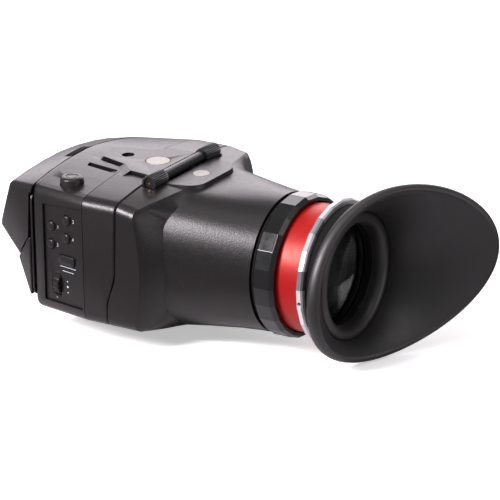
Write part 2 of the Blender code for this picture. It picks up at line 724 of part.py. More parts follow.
def offset_path(points, distance):
    """An open path moved to its right-hand side by a distance."""
    directions = [(Vector(after) - Vector(before)).normalized() for before, after in zip(points, points[1:])]
    normals = [Vector((direction.y, -direction.x)) for direction in directions]
    moved = [Vector(points[0]) + normals[0] * distance]
    for point, before, after in zip(points[1:-1], normals, normals[1:]):
        middle = (before + after).normalized()
        moved.append(Vector(point) + middle * (distance / middle.dot(before)))
    moved.append(Vector(points[-1]) + normals[-1] * distance)
    return [tuple(point) for point in moved]


def round_marked_edges(made, width, count, across, along):
    """Round the edges that run across at some outline points, and those between them at both ends."""
    weights = made.data.attributes.new("bevel_weight_edge", "FLOAT", "EDGE")
    last = len(made.data.vertices) // count - 1
    for edge, weight in zip(made.data.edges, weights.data):
        (ring_a, point_a), (ring_b, point_b) = [divmod(index, count) for index in edge.vertices]
        crosses = point_a == point_b and point_a in across
        runs = ring_a == ring_b and ring_a in (0, last) and (min(point_a, point_b), max(point_a, point_b)) in along
        if crosses or runs:
            weight.value = 1.0
    bevel = made.modifiers.new("round", "BEVEL")
    bevel.width = width
    bevel.segments = 3
    bevel.limit_method = "WEIGHT"


def make_front_cover():
    """Nose of the housing: roof, brow, nose and chin, hollowed from behind."""
    outer = [(COVER_ROOF_START, COVER_TOP), COVER_BROW, COVER_NOSE, COVER_CHIN]
    crowns = [COVER_CROWN, COVER_BROW_CROWN, 0.0, 0.0]
    hook_z = NECK_TOP + CLEARANCE
    back = [
        (COVER_START + COVER_NOTCH_FORWARD, COVER_NOTCH_HEIGHT),
        (COVER_START, hook_z),
        (COVER_ROOF_START, hook_z),
    ]
    outline = outer + back
    rings = cover_rings(outline, crowns + [0.0] * len(back), 0.0)
    cover = skin("front_cover", rings, "case")
    round_marked_edges(cover, COVER_EDGE_ROUND, len(outline), (1, 2), ((0, 1), (1, 2), (2, 3)))
    inner = offset_path(outer, COVER_WALL)
    inner[0] = (COVER_ROOF_START - OVERRUN, COVER_TOP - COVER_WALL)
    inner.append((COVER_ROOF_START - OVERRUN, inner[-1][1]))
    hollow = skin("cover_hollow", cover_rings(inner, crowns + [0.0], COVER_WALL), cutter=True)
    cut(cover, hollow)
    return soften(cover)


def make_front_base():
    """Lower front piece under the cover's slanting edge, hollowed from behind."""
    notch_y = COVER_START + COVER_NOTCH_FORWARD
    notch_z = COVER_NOTCH_HEIGHT - CLEARANCE * 2
    chin_z = COVER_CHIN[1] - CLEARANCE * 2
    outline = [
        (COVER_START, notch_z), (notch_y, notch_z), (COVER_CHIN[0] - CLEARANCE, chin_z), BASE_FOOT,
        (COVER_START, BASE_FOOT[1]),
    ]
    sides = [[(side * cover_half_width(y), y, z) for y, z in outline] for side in (-1, 1)]
    base = skin("front_base", sides, "case")
    add_bevel(base, BASE_EDGE_ROUND)
    lean = (COVER_CHIN[0] - BASE_FOOT[0]) / (chin_z - BASE_FOOT[1])
    low = BASE_FOOT[1] + COVER_WALL
    pocket_outline = [
        (COVER_START - OVERRUN, low),
        (BASE_FOOT[0] + lean * COVER_WALL - BASE_WALL, low),
        (COVER_CHIN[0] - BASE_WALL, chin_z),
        (COVER_CHIN[0] + OVERRUN, chin_z),
        (COVER_CHIN[0] + OVERRUN, notch_z + OVERRUN),
        (COVER_START - OVERRUN, notch_z + OVERRUN),
    ]
    pocket_ends = [[(side * (cover_half_width(y) - COVER_WALL), y, z) for y, z in pocket_outline] for side in (-1, 1)]
    pocket = skin("base_pocket", pocket_ends, cutter=True)
    cut(base, pocket)
    return soften(base)


def make_battery():
    """Slim battery behind the front cover, and the contact block it presses on."""
    contact_y = COVER_START + CONTACT_SIZE[1] / 2
    box("battery_contacts", CONTACT_SIZE, (0.0, contact_y, BATTERY_HEIGHT), "brass")
    battery_y = COVER_START + CONTACT_SIZE[1] + CLEARANCE + BATTERY_SIZE[1] / 2
    box("battery_pack", BATTERY_SIZE, (0.0, battery_y, BATTERY_HEIGHT), "inner", bevel=BATTERY_BEVEL)


def make_latch(front_cover):
    """Sliding catch on the cover's top edge, in a slot long enough for its travel."""
    width, depth, height = LATCH_SIZE
    y = COVER_ROOF_START + depth / 2
    top = COVER_TOP + COVER_CROWN * (1 - (LATCH_X / COVER_HALF_WIDTH) ** 2) - LATCH_SUNK
    middle = top - height / 2
    latch = box("cover_latch", LATCH_SIZE, (LATCH_X, y, middle), "key", bevel=LATCH_BEVEL)
    slot_depth = depth + LATCH_TRAVEL + CLEARANCE + OVERRUN
    slot_size = (width + CLEARANCE * 2, slot_depth, height + OVERRUN * 2)
    slot_y = COVER_ROOF_START - OVERRUN + slot_depth / 2
    slot = box("latch_slot", slot_size, (LATCH_X, slot_y, middle), cutter=True)
    cut(front_cover, slot)
    return latch


def platform_outline(grow, tail_y):
    """Half outline mirrored: nose, waist, shoulder and tail of the platform."""
    half = [
        (PLATFORM_TAIL[0] + grow, tail_y),
        (PLATFORM_TAIL[0] + grow, PLATFORM_TAIL[1]),
        (PLATFORM_SHOULDER[0] + grow, PLATFORM_SHOULDER[1] + grow),
        (PLATFORM_WAIST[0] + grow, PLATFORM_WAIST[1] + grow),
        (PLATFORM_NOSE[0] + grow, PLATFORM_NOSE[1] + grow),
    ]
    return half + [(-x, y) for x, y in reversed(half)]


def make_platform(rear_shell, front_shell):
    """Metal platform let into the roof, with the hinge's middle knuckle at its tail."""
    bottom = PLATFORM_TOP - PLATFORM_THICKNESS
    platform = prism("mount_platform", platform_outline(0.0, LIP_GAP / 2 + CLEARANCE), bottom, PLATFORM_TOP, "case")
    web_outline = [
        (HINGE_BAR_HALF_LENGTH, HINGE_Y),
        (HINGE_BAR_HALF_LENGTH, PLATFORM_TAIL[1]),
        (-HINGE_BAR_HALF_LENGTH, PLATFORM_TAIL[1]),
        (-HINGE_BAR_HALF_LENGTH, HINGE_Y),
    ]
    web_trim = PLATFORM_THICKNESS / 8
    web = prism("hinge_web", web_outline, bottom + web_trim, PLATFORM_TOP - web_trim, cutter=True)
    bar = rod("hinge_bar", HINGE_BAR_RADIUS, HINGE_BAR_HALF_LENGTH * 2, "X", (0.0, HINGE_Y, HINGE_Z),
              steps=SMALL_ROUND_STEPS + 4, cutter=True)
    join(platform, web)
    join(platform, bar)
    pin_hole = rod("hinge_bar_bore", HINGE_PIN_RADIUS + CLEARANCE, HINGE_HALF_LENGTH * 2 + OVERRUN, "X",
                   (0.0, HINGE_Y, HINGE_Z), steps=SMALL_ROUND_STEPS, cutter=True)
    cut(platform, pin_hole)
    pocket = prism("platform_pocket", platform_outline(PLATFORM_GAP, -OVERRUN), bottom - CLEARANCE,
                   PLATFORM_TOP + OVERRUN, cutter=True)
    cut(rear_shell, pocket)
    cut(front_shell, pocket)
    bush_top = bottom - CLEARANCE
    bush_profile = [
        (BUSH_BORE_RADIUS, bush_top), (BUSH_RADIUS, bush_top),
        (BUSH_RADIUS, bush_top - BUSH_LENGTH), (BUSH_BORE_RADIUS, bush_top - BUSH_LENGTH),
    ]
    turned("thread_bush", bush_profile, "steel", (0.0, BUSH_Y, 0.0), steps=ROUND_STEPS, rotation=NO_TURN)
    bush_seat = rod("bush_seat", BUSH_RADIUS + CLEARANCE, BUSH_LENGTH + OVERRUN, "Z",
                    (0.0, BUSH_Y, bush_top - BUSH_LENGTH / 2), cutter=True)
    cut(front_shell, bush_seat)
    bush_mouth = rod("bush_mouth", BUSH_BORE_RADIUS, PLATFORM_THICKNESS + OVERRUN, "Z",
                     (0.0, BUSH_Y, PLATFORM_TOP), cutter=True)
    cut(platform, bush_mouth)
    striker_top = PLATFORM_TOP + STRIKER_PROUD
    striker_middle = striker_top - STRIKER_THICKNESS / 2
    rod("striker_disc", STRIKER_RADIUS, STRIKER_THICKNESS, "Z", (0.0, STRIKER_Y, striker_middle), "steel")
    striker_seat = rod("striker_seat", STRIKER_RADIUS + CLEARANCE, STRIKER_THICKNESS + CLEARANCE * 2, "Z",
                       (0.0, STRIKER_Y, striker_middle), cutter=True)
    cut(platform, striker_seat)
    return platform


def make_power_button(front_shell):
    """Tall round power button, its switch and the small board that carries it."""
    x, y = POWER_PLACE
    roof = roof_height(x, y)
    top = roof + POWER_PROUD
    bottom = roof - POWER_SKIRT
    profile = [
        (0.0, top), (POWER_RADIUS * 0.7, top - POWER_DOME * 0.35), (POWER_RADIUS, top - POWER_DOME),
        (POWER_RADIUS, bottom), (0.0, bottom),
    ]
    lowered = [(radius, height - bottom) for radius, height in profile]
    turned("power_button", lowered, "key", (x, y, bottom), steps=FACET_COUNT, rotation=NO_TURN,
           closed=False)
    hole = rod("power_hole", POWER_RADIUS + CLEARANCE, POWER_SKIRT * 2, "Z", (x, y, roof), steps=ROUND_STEPS,
               cutter=True)
    cut(front_shell, hole)
    switch_top = bottom - CLEARANCE - POWER_TRAVEL / 2
    board_top = switch_top - POWER_SWITCH_SIZE[2]
    board_middle = board_top - POWER_BOARD_SIZE[2] / 2
    board = box("power_board", POWER_BOARD_SIZE, (x, y, board_middle), "board")
    switch_height = POWER_SWITCH_SIZE[2] + POWER_BOARD_SIZE[2] / 2
    switch = box("power_switch_body", (POWER_SWITCH_SIZE[0], POWER_SWITCH_SIZE[1], switch_height),
                 (x, y, switch_top - switch_height / 2), cutter=True)
    join(board, switch)
    for side in (-1, 1):
        post_y = y + side * (POWER_BOARD_SIZE[1] - POWER_POST_SIZE[1]) / 2
        post_low = board_top + CLEARANCE
        post_high = roof_height(x, post_y) - HOUSING_WALL / 2
        post = box("power_post", (*POWER_POST_SIZE, post_high - post_low),
                   (x, post_y, (post_low + post_high) / 2), cutter=True)
        join(front_shell, post)


def make_slit(front_shell):
    """Long narrow slit in the roof beside the platform."""
    start = Vector(SLIT_START)
    end = Vector(SLIT_END)
    middle = (start + end) / 2
    along = end - start
    height = roof_height(middle.x, middle.y)
    cutter = box("roof_slit", (along.length, SLIT_WIDTH, HOUSING_WALL * 4), (middle.x, middle.y, height), cutter=True)
    cutter.rotation_euler = (0.0, 0.0, math.atan2(along.y, along.x))
    cut(front_shell, cutter)


def side_prism(name, outline, shallow, deep, material=None, parent=None, cutter=False):
    """An outline of (forward, up) points on a side, from a shallow to a deep place inwards."""
    form = bmesh.new()
    corners = [form.verts.new((shallow, y, z)) for y, z in outline]
    face = form.faces.new(corners)
    grown = bmesh.ops.extrude_face_region(form, geom=[face])
    moved = [item for item in grown["geom"] if isinstance(item, bmesh.types.BMVert)]
    bmesh.ops.translate(form, verts=moved, vec=(deep - shallow, 0.0, 0.0))
    return add_mesh_object(name, form, material, (0.0, 0.0, 0.0), parent or LEFT_SIDE, cutter)


def panel_outline(grow):
    """Key panel outline: four sides, the top one falling towards the front."""
    return [
        (PANEL_REAR - grow, PANEL_BOTTOM - grow),
        (PANEL_FRONT + grow, PANEL_BOTTOM - grow),
        (PANEL_FRONT + grow, PANEL_TOP_FRONT + grow),
        (PANEL_REAR - grow, PANEL_TOP_REAR + grow),
    ]


def key_profile(radius, height, dome):
    """Profile of a domed key that stands on its inner end."""
    return [
        (0.0, height), (radius * KEY_DOME_SHARES[0], height - dome * 0.3),
        (radius * KEY_DOME_SHARES[1], height - dome * 0.75), (radius, height - dome * 1.4),
        (radius, 0.0), (0.0, 0.0),
    ]


def make_key_panel(front_shell):
    """Recessed key panel with its keys, their board and switches."""
    face = PANEL_RECESS
    back = face + PANEL_THICKNESS
    panel = side_prism("key_panel", panel_outline(0.0), face, back, "case")
    opening = side_prism("panel_opening", panel_outline(CLEARANCE), -OVERRUN, HOUSING_WALL + OVERRUN, cutter=True)
    cut(front_shell, opening)
    inner = back + KEY_SKIRT
    outer = face - KEY_PROUD
    switch_top = inner + KEY_TRAVEL + CLEARANCE
    board_face = switch_top + KEY_SWITCH_HEIGHT
    board_outline = [
        (PANEL_REAR + KEY_BOARD_MARGIN, KEY_BOARD_BOTTOM), (PANEL_FRONT - KEY_BOARD_MARGIN, KEY_BOARD_BOTTOM),
        (PANEL_FRONT - KEY_BOARD_MARGIN, PANEL_TOP_FRONT - KEY_BOARD_MARGIN),
        (PANEL_REAR + KEY_BOARD_MARGIN, PANEL_TOP_FRONT - KEY_BOARD_MARGIN),
    ]
    board = side_prism("key_board", board_outline, board_face, board_face + KEY_BOARD_THICKNESS, "board")
    for index, (forward, up) in enumerate(KEY_PLACES, start=1):
        turned(f"function_key_{index}", key_profile(KEY_RADIUS, inner - outer, KEY_DOME), "key",
               (inner, forward, up), LEFT_SIDE, steps=FACET_COUNT, rotation=OUTWARD_TURN, closed=False)
        hole = rod("key_hole", KEY_RADIUS + CLEARANCE, PANEL_THICKNESS + OVERRUN, "X",
                   ((face + back) / 2, forward, up), parent=LEFT_SIDE, steps=FACET_COUNT, cutter=True)
        cut(panel, hole)
        add_switch(board, switch_top, board_face, forward, up)
    menu_half = (MENU_SIZE[0] / 2, MENU_SIZE[1] / 2)
    forward, up = MENU_PLACE
    menu_outline = rounded_rectangle(menu_half[0], menu_half[1], menu_half[1] * 0.8)
    placed = [(forward + y, up + z) for y, z in menu_outline]
    menu = side_prism("menu_key", placed, outer + KEY_DOME, inner, "key")
    add_bevel(menu, KEY_DOME / 2, 1)
    grown = rounded_rectangle(menu_half[0] + CLEARANCE, menu_half[1] + CLEARANCE, menu_half[1] * 0.8)
    menu_hole = side_prism("menu_hole", [(forward + y, up + z) for y, z in grown], face - OVERRUN, back + OVERRUN,
                           cutter=True)
    cut(panel, menu_hole)
    add_switch(board, switch_top, board_face, forward, up)
    return panel, board_face


def add_switch(board, top, board_face, forward, up):
    """One small push switch joined to the key board."""
    sunk = KEY_BOARD_THICKNESS / 2
    depth = board_face + sunk - top
    switch = box("key_switch", (depth, KEY_SWITCH_SIZE, KEY_SWITCH_SIZE), (top + depth / 2, forward, up),
                 parent=LEFT_SIDE, cutter=True)
    join(board, switch)


def make_jog(panel):
    """Jog wheel on its axle in a yoke that can be pressed, behind a dished slot."""
    forward, up = JOG_PLACE
    dish = bmesh.new()
    bmesh.ops.create_uvsphere(dish, u_segments=FACET_COUNT, v_segments=SMALL_ROUND_STEPS, radius=1.0)
    scale = Matrix.Diagonal((JOG_DISH_DEPTH, JOG_DISH_HALF_SIZE[0], JOG_DISH_HALF_SIZE[1], 1.0))
    bmesh.ops.transform(dish, matrix=scale, verts=dish.verts)
    dish_cutter = add_mesh_object("jog_dish", dish, None, (PANEL_RECESS, forward, up), LEFT_SIDE, True)
    cut(panel, dish_cutter)
    slot_width = JOG_WIDTH + CLEARANCE * 2
    slot = box("jog_slot", (PANEL_THICKNESS + OVERRUN, slot_width, JOG_SLOT_HEIGHT),
               (PANEL_RECESS + PANEL_THICKNESS / 2, forward, up), parent=LEFT_SIDE, cutter=True)
    cut(panel, slot)
    centre = (JOG_CENTRE_DEPTH, forward, up)
    wheel = rod("jog_wheel", JOG_RADIUS, JOG_WIDTH, "Y", centre, "key", LEFT_SIDE, steps=ROUND_STEPS)
    for index in range(JOG_NOTCH_COUNT):
        angle = 2 * math.pi * index / JOG_NOTCH_COUNT
        place = (JOG_CENTRE_DEPTH + JOG_RADIUS * math.cos(angle), forward, up + JOG_RADIUS * math.sin(angle))
        notch = rod("jog_notch", JOG_NOTCH_RADIUS, JOG_WIDTH + OVERRUN, "Y", place, parent=LEFT_SIDE, steps=6,
                    cutter=True)
        cut(wheel, notch)
    bore = rod("jog_bore", JOG_AXLE_RADIUS + CLEARANCE, JOG_WIDTH + OVERRUN, "Y", centre, parent=LEFT_SIDE,
               steps=SMALL_ROUND_STEPS, cutter=True)
    cut(wheel, bore)
    rod("jog_axle", JOG_AXLE_RADIUS, JOG_AXLE_LENGTH, "Y", centre, "steel", LEFT_SIDE, steps=SMALL_ROUND_STEPS)
    make_jog_yoke(centre)


def make_jog_yoke(centre):
    """Forked yoke that carries the axle, and the push switch behind it."""
    depth, forward, up = centre
    inside = JOG_WIDTH / 2 + CLEARANCE
    outside = inside + JOG_YOKE_WALL
    front = PANEL_RECESS + PANEL_THICKNESS + CLEARANCE
    back = depth + JOG_YOKE_BACK
    yoke = box("jog_yoke", (back - front, outside * 2, JOG_YOKE_HEIGHT), ((front + back) / 2, forward, up),
               "inner", LEFT_SIDE)
    gap_back = depth + JOG_RADIUS + CLEARANCE * 2
    gap = box("yoke_gap", (gap_back - front + OVERRUN, inside * 2, JOG_YOKE_HEIGHT + OVERRUN),
              ((front + gap_back - OVERRUN) / 2, forward, up), parent=LEFT_SIDE, cutter=True)
    cut(yoke, gap)
    bore = rod("yoke_bore", JOG_AXLE_RADIUS + CLEARANCE, JOG_AXLE_LENGTH + OVERRUN, "Y", centre, parent=LEFT_SIDE,
               steps=SMALL_ROUND_STEPS, cutter=True)
    cut(yoke, bore)
    switch_front = back + CLEARANCE + JOG_PRESS_TRAVEL / 2
    box("jog_switch", (JOG_SWITCH_DEPTH, outside * 2, JOG_YOKE_HEIGHT),
        (switch_front + JOG_SWITCH_DEPTH / 2, forward, up), "inner", LEFT_SIDE)


def plate(name, size, y_start, thickness, material):
    """A flat plate across the optical axis."""
    return box(name, (size[0], thickness, size[1]), (0.0, y_start + thickness / 2, 0.0), material)


def make_screen_stack():
    """Window, gasket, screen and bracket, one behind the other."""
    y = BEZEL_DEPTH + BEZEL_THICKNESS + CLEARANCE
    plate("screen_window", WINDOW_SIZE, y, WINDOW_THICKNESS, "screen")
    y += WINDOW_THICKNESS + CLEARANCE
    gasket = plate("window_gasket", GASKET_SIZE, y, GASKET_THICKNESS, "rubber")
    hole = box("gasket_opening", (GASKET_OPENING[0], GASKET_THICKNESS + OVERRUN, GASKET_OPENING[1]),
               (0.0, y + GASKET_THICKNESS / 2, 0.0), cutter=True)
    cut(gasket, hole)
    y += GASKET_THICKNESS + CLEARANCE
    plate("screen_panel", SCREEN_PANEL_SIZE, y, SCREEN_PANEL_THICKNESS, "screen")
    y += SCREEN_PANEL_THICKNESS + CLEARANCE
    plate("screen_bracket", BRACKET_SIZE, y, BRACKET_THICKNESS, "steel")
    return y + BRACKET_THICKNESS


def make_boards(y):
    """Heat plate, main board on four posts with its chips, and the screen's ribbon cable."""
    heat_y = y + CLEARANCE
    plate("heat_plate", HEAT_PLATE_SIZE, heat_y, HEAT_PLATE_THICKNESS, "bright_metal")
    board_y = heat_y + HEAT_PLATE_THICKNESS + BOARD_STANDOFF
    board = plate("main_board", BOARD_SIZE, board_y, BOARD_THICKNESS, "board")
    post_length = BOARD_STANDOFF - CLEARANCE + BOARD_THICKNESS / 2
    post_y = board_y + BOARD_THICKNESS / 2 - post_length / 2
    for side_x in (-1, 1):
        for side_z in (-1, 1):
            place = (side_x * HEAT_PLATE_SIZE[0] * STANDOFF_PLACE_SHARES[0], post_y,
                     side_z * HEAT_PLATE_SIZE[1] * STANDOFF_PLACE_SHARES[1])
            post = rod("board_post", STANDOFF_RADIUS, post_length, "Y", place, steps=SMALL_ROUND_STEPS, cutter=True)
            join(board, post)
    face = board_y + BOARD_THICKNESS
    for size, shares in zip(CHIP_SIZES, CHIP_PLACE_SHARES):
        sunk = BOARD_THICKNESS / 2
        place = (BOARD_SIZE[0] * shares[0], face + (size[1] - sunk) / 2, BOARD_SIZE[1] * shares[1])
        chip = box("board_chip", (size[0], size[1] + sunk, size[2]), place, cutter=True)
        join(board, chip)
    low = -BOARD_SIZE[1] / 2 - CLEARANCE * 2
    bend_y = face + CLEARANCE * 3
    strip = [
        (heat_y, low), (heat_y, low - RIBBON_THICKNESS), (bend_y + RIBBON_THICKNESS, low - RIBBON_THICKNESS),
        (bend_y + RIBBON_THICKNESS, low + RIBBON_LIFT), (bend_y, low + RIBBON_LIFT), (bend_y, low),
    ]
    ends = [[(side * RIBBON_WIDTH / 2, y_at, z_at) for y_at, z_at in strip] for side in (-1, 1)]
    skin("ribbon_cable", ends, "brass")
    return face


def make_connector_panel(front_shell):
    """Plate with two coaxial jacks, two video sockets and a phone jack on the right side."""
    half = (CONNECTOR_PANEL_SIZE[0] / 2, CONNECTOR_PANEL_SIZE[1] / 2)
    centre_y, centre_z = CONNECTOR_PANEL_CENTRE
    outline = [(centre_y + y, centre_z + z) for y, z in rounded_rectangle(*half, SCREEN_CORNER_RADIUS)]
    grown = [(centre_y + y, centre_z + z) for y, z in
             rounded_rectangle(half[0] + CLEARANCE, half[1] + CLEARANCE, SCREEN_CORNER_RADIUS + CLEARANCE)]
    face = PANEL_RECESS / 2
    back = face + PANEL_THICKNESS
    panel = side_prism("connector_panel", outline, face, back, "case", RIGHT_SIDE)
    opening = side_prism("connector_opening", grown, -OVERRUN, HOUSING_WALL + OVERRUN, None, RIGHT_SIDE, cutter=True)
    cut(front_shell, opening)
    for index, up in enumerate(COAX_HEIGHTS, start=1):
        make_coax_jack(f"coax_jack_{index}", panel, face, back, up)
    for index, up in enumerate(VIDEO_SOCKET_HEIGHTS, start=1):
        make_video_socket(f"video_socket_{index}", panel, face, back, up)
    make_phone_jack(panel, face, back)


def make_coax_jack(name, panel, face, back, up):
    """Threaded coaxial jack with a flange, a bore and a centre pin."""
    tip = face - COAX_LENGTH
    flange = face - CLEARANCE
    flange_front = flange - COAX_FLANGE_THICKNESS
    bore_end = flange_front - CLEARANCE
    tail = back + COAX_FLANGE_THICKNESS
    outer = [
        (0.0, -(tip + COAX_PIN_RECESS)), (COAX_PIN_RADIUS, -(tip + COAX_PIN_RECESS)),
        (COAX_PIN_RADIUS, -bore_end), (COAX_BORE_RADIUS, -bore_end), (COAX_BORE_RADIUS, -tip),
        (COAX_RADIUS, -tip), (COAX_RADIUS, -flange_front), (COAX_FLANGE_RADIUS, -flange_front),
        (COAX_FLANGE_RADIUS, -flange), (COAX_BORE_RADIUS, -flange), (COAX_BORE_RADIUS, -tail), (0.0, -tail),
    ]
    turned(name, outer, "steel", (0.0, COAX_PLACE, up), RIGHT_SIDE, steps=FACET_COUNT,
           rotation=OUTWARD_TURN, closed=False)
    hole = rod("coax_hole", COAX_BORE_RADIUS + CLEARANCE, PANEL_THICKNESS + OVERRUN, "X",
               ((face + back) / 2, COAX_PLACE, up), parent=RIGHT_SIDE, steps=FACET_COUNT, cutter=True)
    cut(panel, hole)


def make_video_socket(name, panel, face, back, up):
    """Open metal socket shell behind a slot in the panel."""
    depth, width, height = VIDEO_SOCKET_SIZE
    middle = face + depth / 2
    socket = box(name, VIDEO_SOCKET_SIZE, (middle, VIDEO_SOCKET_PLACE, up), "steel", RIGHT_SIDE)
    hollow = box("socket_hollow", (depth, width - VIDEO_SOCKET_WALL * 2, height - VIDEO_SOCKET_WALL * 2),
                 (middle - VIDEO_SOCKET_WALL * 2, VIDEO_SOCKET_PLACE, up), parent=RIGHT_SIDE, cutter=True)
    cut(socket, hollow)
    slot = box("socket_slot", (PANEL_THICKNESS + OVERRUN, width + CLEARANCE * 2, height + CLEARANCE * 2),
               ((face + back) / 2, VIDEO_SOCKET_PLACE, up), parent=RIGHT_SIDE, cutter=True)
    cut(panel, slot)


def make_phone_jack(panel, face, back):
    """Round phone jack with a blind bore."""
    front = face - PHONE_JACK_PROUD
    end = front + PHONE_JACK_LENGTH
    profile = [
        (0.0, -(end - PHONE_JACK_PROUD)), (PHONE_JACK_BORE_RADIUS, -(end - PHONE_JACK_PROUD)),
        (PHONE_JACK_BORE_RADIUS, -front), (PHONE_JACK_RADIUS, -front), (PHONE_JACK_RADIUS, -end), (0.0, -end),
    ]
    turned("phone_jack", profile, "inner", (0.0, COAX_PLACE, PHONE_JACK_HEIGHT), RIGHT_SIDE,
           steps=FACET_COUNT, rotation=OUTWARD_TURN, closed=False)
    hole = rod("phone_hole", PHONE_JACK_RADIUS + CLEARANCE, PANEL_THICKNESS + OVERRUN, "X",
               ((face + back) / 2, COAX_PLACE, PHONE_JACK_HEIGHT), parent=RIGHT_SIDE, steps=FACET_COUNT,
               cutter=True)
    cut(panel, hole)


def make_underside(front_shell):
    """Four case screws and a rubber pad let into the housing's underside."""
    for index, (x, y) in enumerate(SCREW_PLACES, start=1):
        surface = floor_height(x, y)
        head_face = surface + SCREW_SUNK
        head_top = head_face + SCREW_HEAD_HEIGHT
        tip = head_top + SCREW_SHANK_LENGTH
        profile = [
            (0.0, tip), (SCREW_SHANK_RADIUS, tip), (SCREW_SHANK_RADIUS, head_top), (SCREW_HEAD_RADIUS, head_top),
            (SCREW_HEAD_RADIUS, head_face), (SCREW_SOCKET_RADIUS, head_face),
            (SCREW_SOCKET_RADIUS, head_face + SCREW_SOCKET_DEPTH), (0.0, head_face + SCREW_SOCKET_DEPTH),
        ]
        turned(f"case_screw_{index}", profile, "black_metal", (x, y, 0.0), steps=SMALL_ROUND_STEPS,
               rotation=NO_TURN, closed=False)
        counterbore_height = SCREW_SUNK + SCREW_HEAD_HEIGHT + CLEARANCE + OVERRUN
        counterbore = rod("screw_counterbore", SCREW_HEAD_RADIUS + CLEARANCE, counterbore_height, "Z",
                          (x, y, head_top + CLEARANCE - counterbore_height / 2), steps=SMALL_ROUND_STEPS, cutter=True)
        bore = rod("screw_bore", SCREW_SHANK_RADIUS + CLEARANCE, SCREW_SHANK_LENGTH * 2, "Z", (x, y, head_top),
                   steps=SMALL_ROUND_STEPS, cutter=True)
        cut(front_shell, counterbore)
        cut(front_shell, bore)
    width, depth, height = PAD_SIZE
    outline = [(x, PAD_Y + y) for x, y in rounded_rectangle(width / 2, depth / 2, PAD_CORNER_RADIUS)]
    grown = [(x, PAD_Y + y) for x, y in
             rounded_rectangle(width / 2 + CLEARANCE, depth / 2 + CLEARANCE, PAD_CORNER_RADIUS + CLEARANCE)]
    surface = floor_height(0.0, PAD_Y)
    pad_top = surface + PAD_SUNK + HOUSING_CROWN * (width / 2 / HOUSING_HALF_WIDTH) ** 2
    prism("foot_pad", outline, pad_top - height, pad_top, "rubber")
    pocket = prism("pad_pocket", grown, surface - OVERRUN, pad_top + CLEARANCE, cutter=True)
    cut(front_shell, pocket)


def shoulder_y(x, z):
    """Slanting shoulder: further back where it is nearer the optical axis."""
    return SHOULDER_CORNER_Y - SHOULDER_SLOPE_SHARE * (SHOULDER_CORNER_RADIUS - math.hypot(x, z))


def root_radius(angle, half_width, half_height, corner):
    """Distance from the axis to a rounded rectangle in one direction."""
    x, z = abs(math.cos(angle)), abs(math.sin(angle))
    side = half_width / x if x > 0 else math.inf
    if side * z <= half_height - corner:
        return side
    top = half_height / z if z > 0 else math.inf
    if top * x <= half_width - corner:
        return top
    centre_x, centre_z = half_width - corner, half_height - corner
    along = centre_x * x + centre_z * z
    off = centre_x * centre_x + centre_z * centre_z - corner * corner
    return along + math.sqrt(along * along - off)


def hood_box_outline(inset, drop):
    """The hood's box section: the housing's, with a roof that drops towards the back."""
    half_width = HOUSING_HALF_WIDTH - inset
    radius = HOUSING_CORNER_RADIUS - inset
    return crowned_outline(half_width, HOUSING_SIDE_TOP - inset - drop, inset - HOUSING_SIDE_BOTTOM,
                           HOUSING_CROWN, HOUSING_CROWN, radius)


def hood_rings(inset, front_offset, barrel_end):
    """Rings of the hood's skin from its lip to the end of its barrel, drawn in by an inset."""
    lip = [(x, lip_y(z) + front_offset, z) for x, z in hood_box_outline(inset, 0.0)]
    crease_outline = hood_box_outline(inset, HOOD_ROOF_DROP)
    crease = []
    shoulder = []
    root = []
    for x, z in crease_outline:
        angle = math.atan2(z, x)
        crease_y = shoulder_y(x, z) + inset * SHOULDER_SLOPE_SHARE
        reach = root_radius(angle, ROOT_HALF_WIDTH - inset, ROOT_HALF_HEIGHT - inset, ROOT_CORNER_RADIUS - inset)
        far = math.hypot(x, z)
        reach = min(reach, far - SHOULDER_ROUND / 2)
        root_y = crease_y - ROOT_SLOPE_SHARE * (far - reach) - SHOULDER_ROUND
        crease.append((x, crease_y + SHOULDER_ROUND, z))
        near = max(reach + SHOULDER_ROUND / 4, far - SHOULDER_ROUND)
        shoulder.append((near * math.cos(angle), crease_y, near * math.sin(angle)))
        root.append((reach * math.cos(angle), root_y, reach * math.sin(angle)))
    rings = [lip, crease, shoulder, root]
    end_radius = BARREL_END_RADIUS - inset
    for share in (*BARREL_MIDDLE_SHARES, 1.0):
        ring = []
        for x, y, z in root:
            angle = math.atan2(z, x)
            radius = math.hypot(x, z) * (1 - share) + end_radius * share
            y_at = y * (1 - share) + barrel_end * share
            ring.append((radius * math.cos(angle), y_at, radius * math.sin(angle)))
        rings.append(ring)
    return rings


def plateau_outline():
    """Plateau behind the hinge, with cut corners at its back."""
    slope = (PLATEAU_FRONT_HALF_WIDTH - PLATEAU_BACK_HALF_WIDTH) / (PLATEAU_FRONT_Y - PLATEAU_BACK_Y)
    half = [
        (TROUGH_HALF_WIDTH - CLEARANCE, -LIP_GAP / 2),
        (TROUGH_HALF_WIDTH - CLEARANCE, PLATEAU_FRONT_Y - CLEARANCE),
        (PLATEAU_FRONT_HALF_WIDTH, PLATEAU_FRONT_Y - CLEARANCE * 2),
        (PLATEAU_BACK_HALF_WIDTH + slope * PLATEAU_CORNER, PLATEAU_BACK_Y + PLATEAU_CORNER),
        (PLATEAU_BACK_HALF_WIDTH - PLATEAU_CORNER, PLATEAU_BACK_Y),
    ]
    return half + [(-x, y) for x, y in reversed(half)]


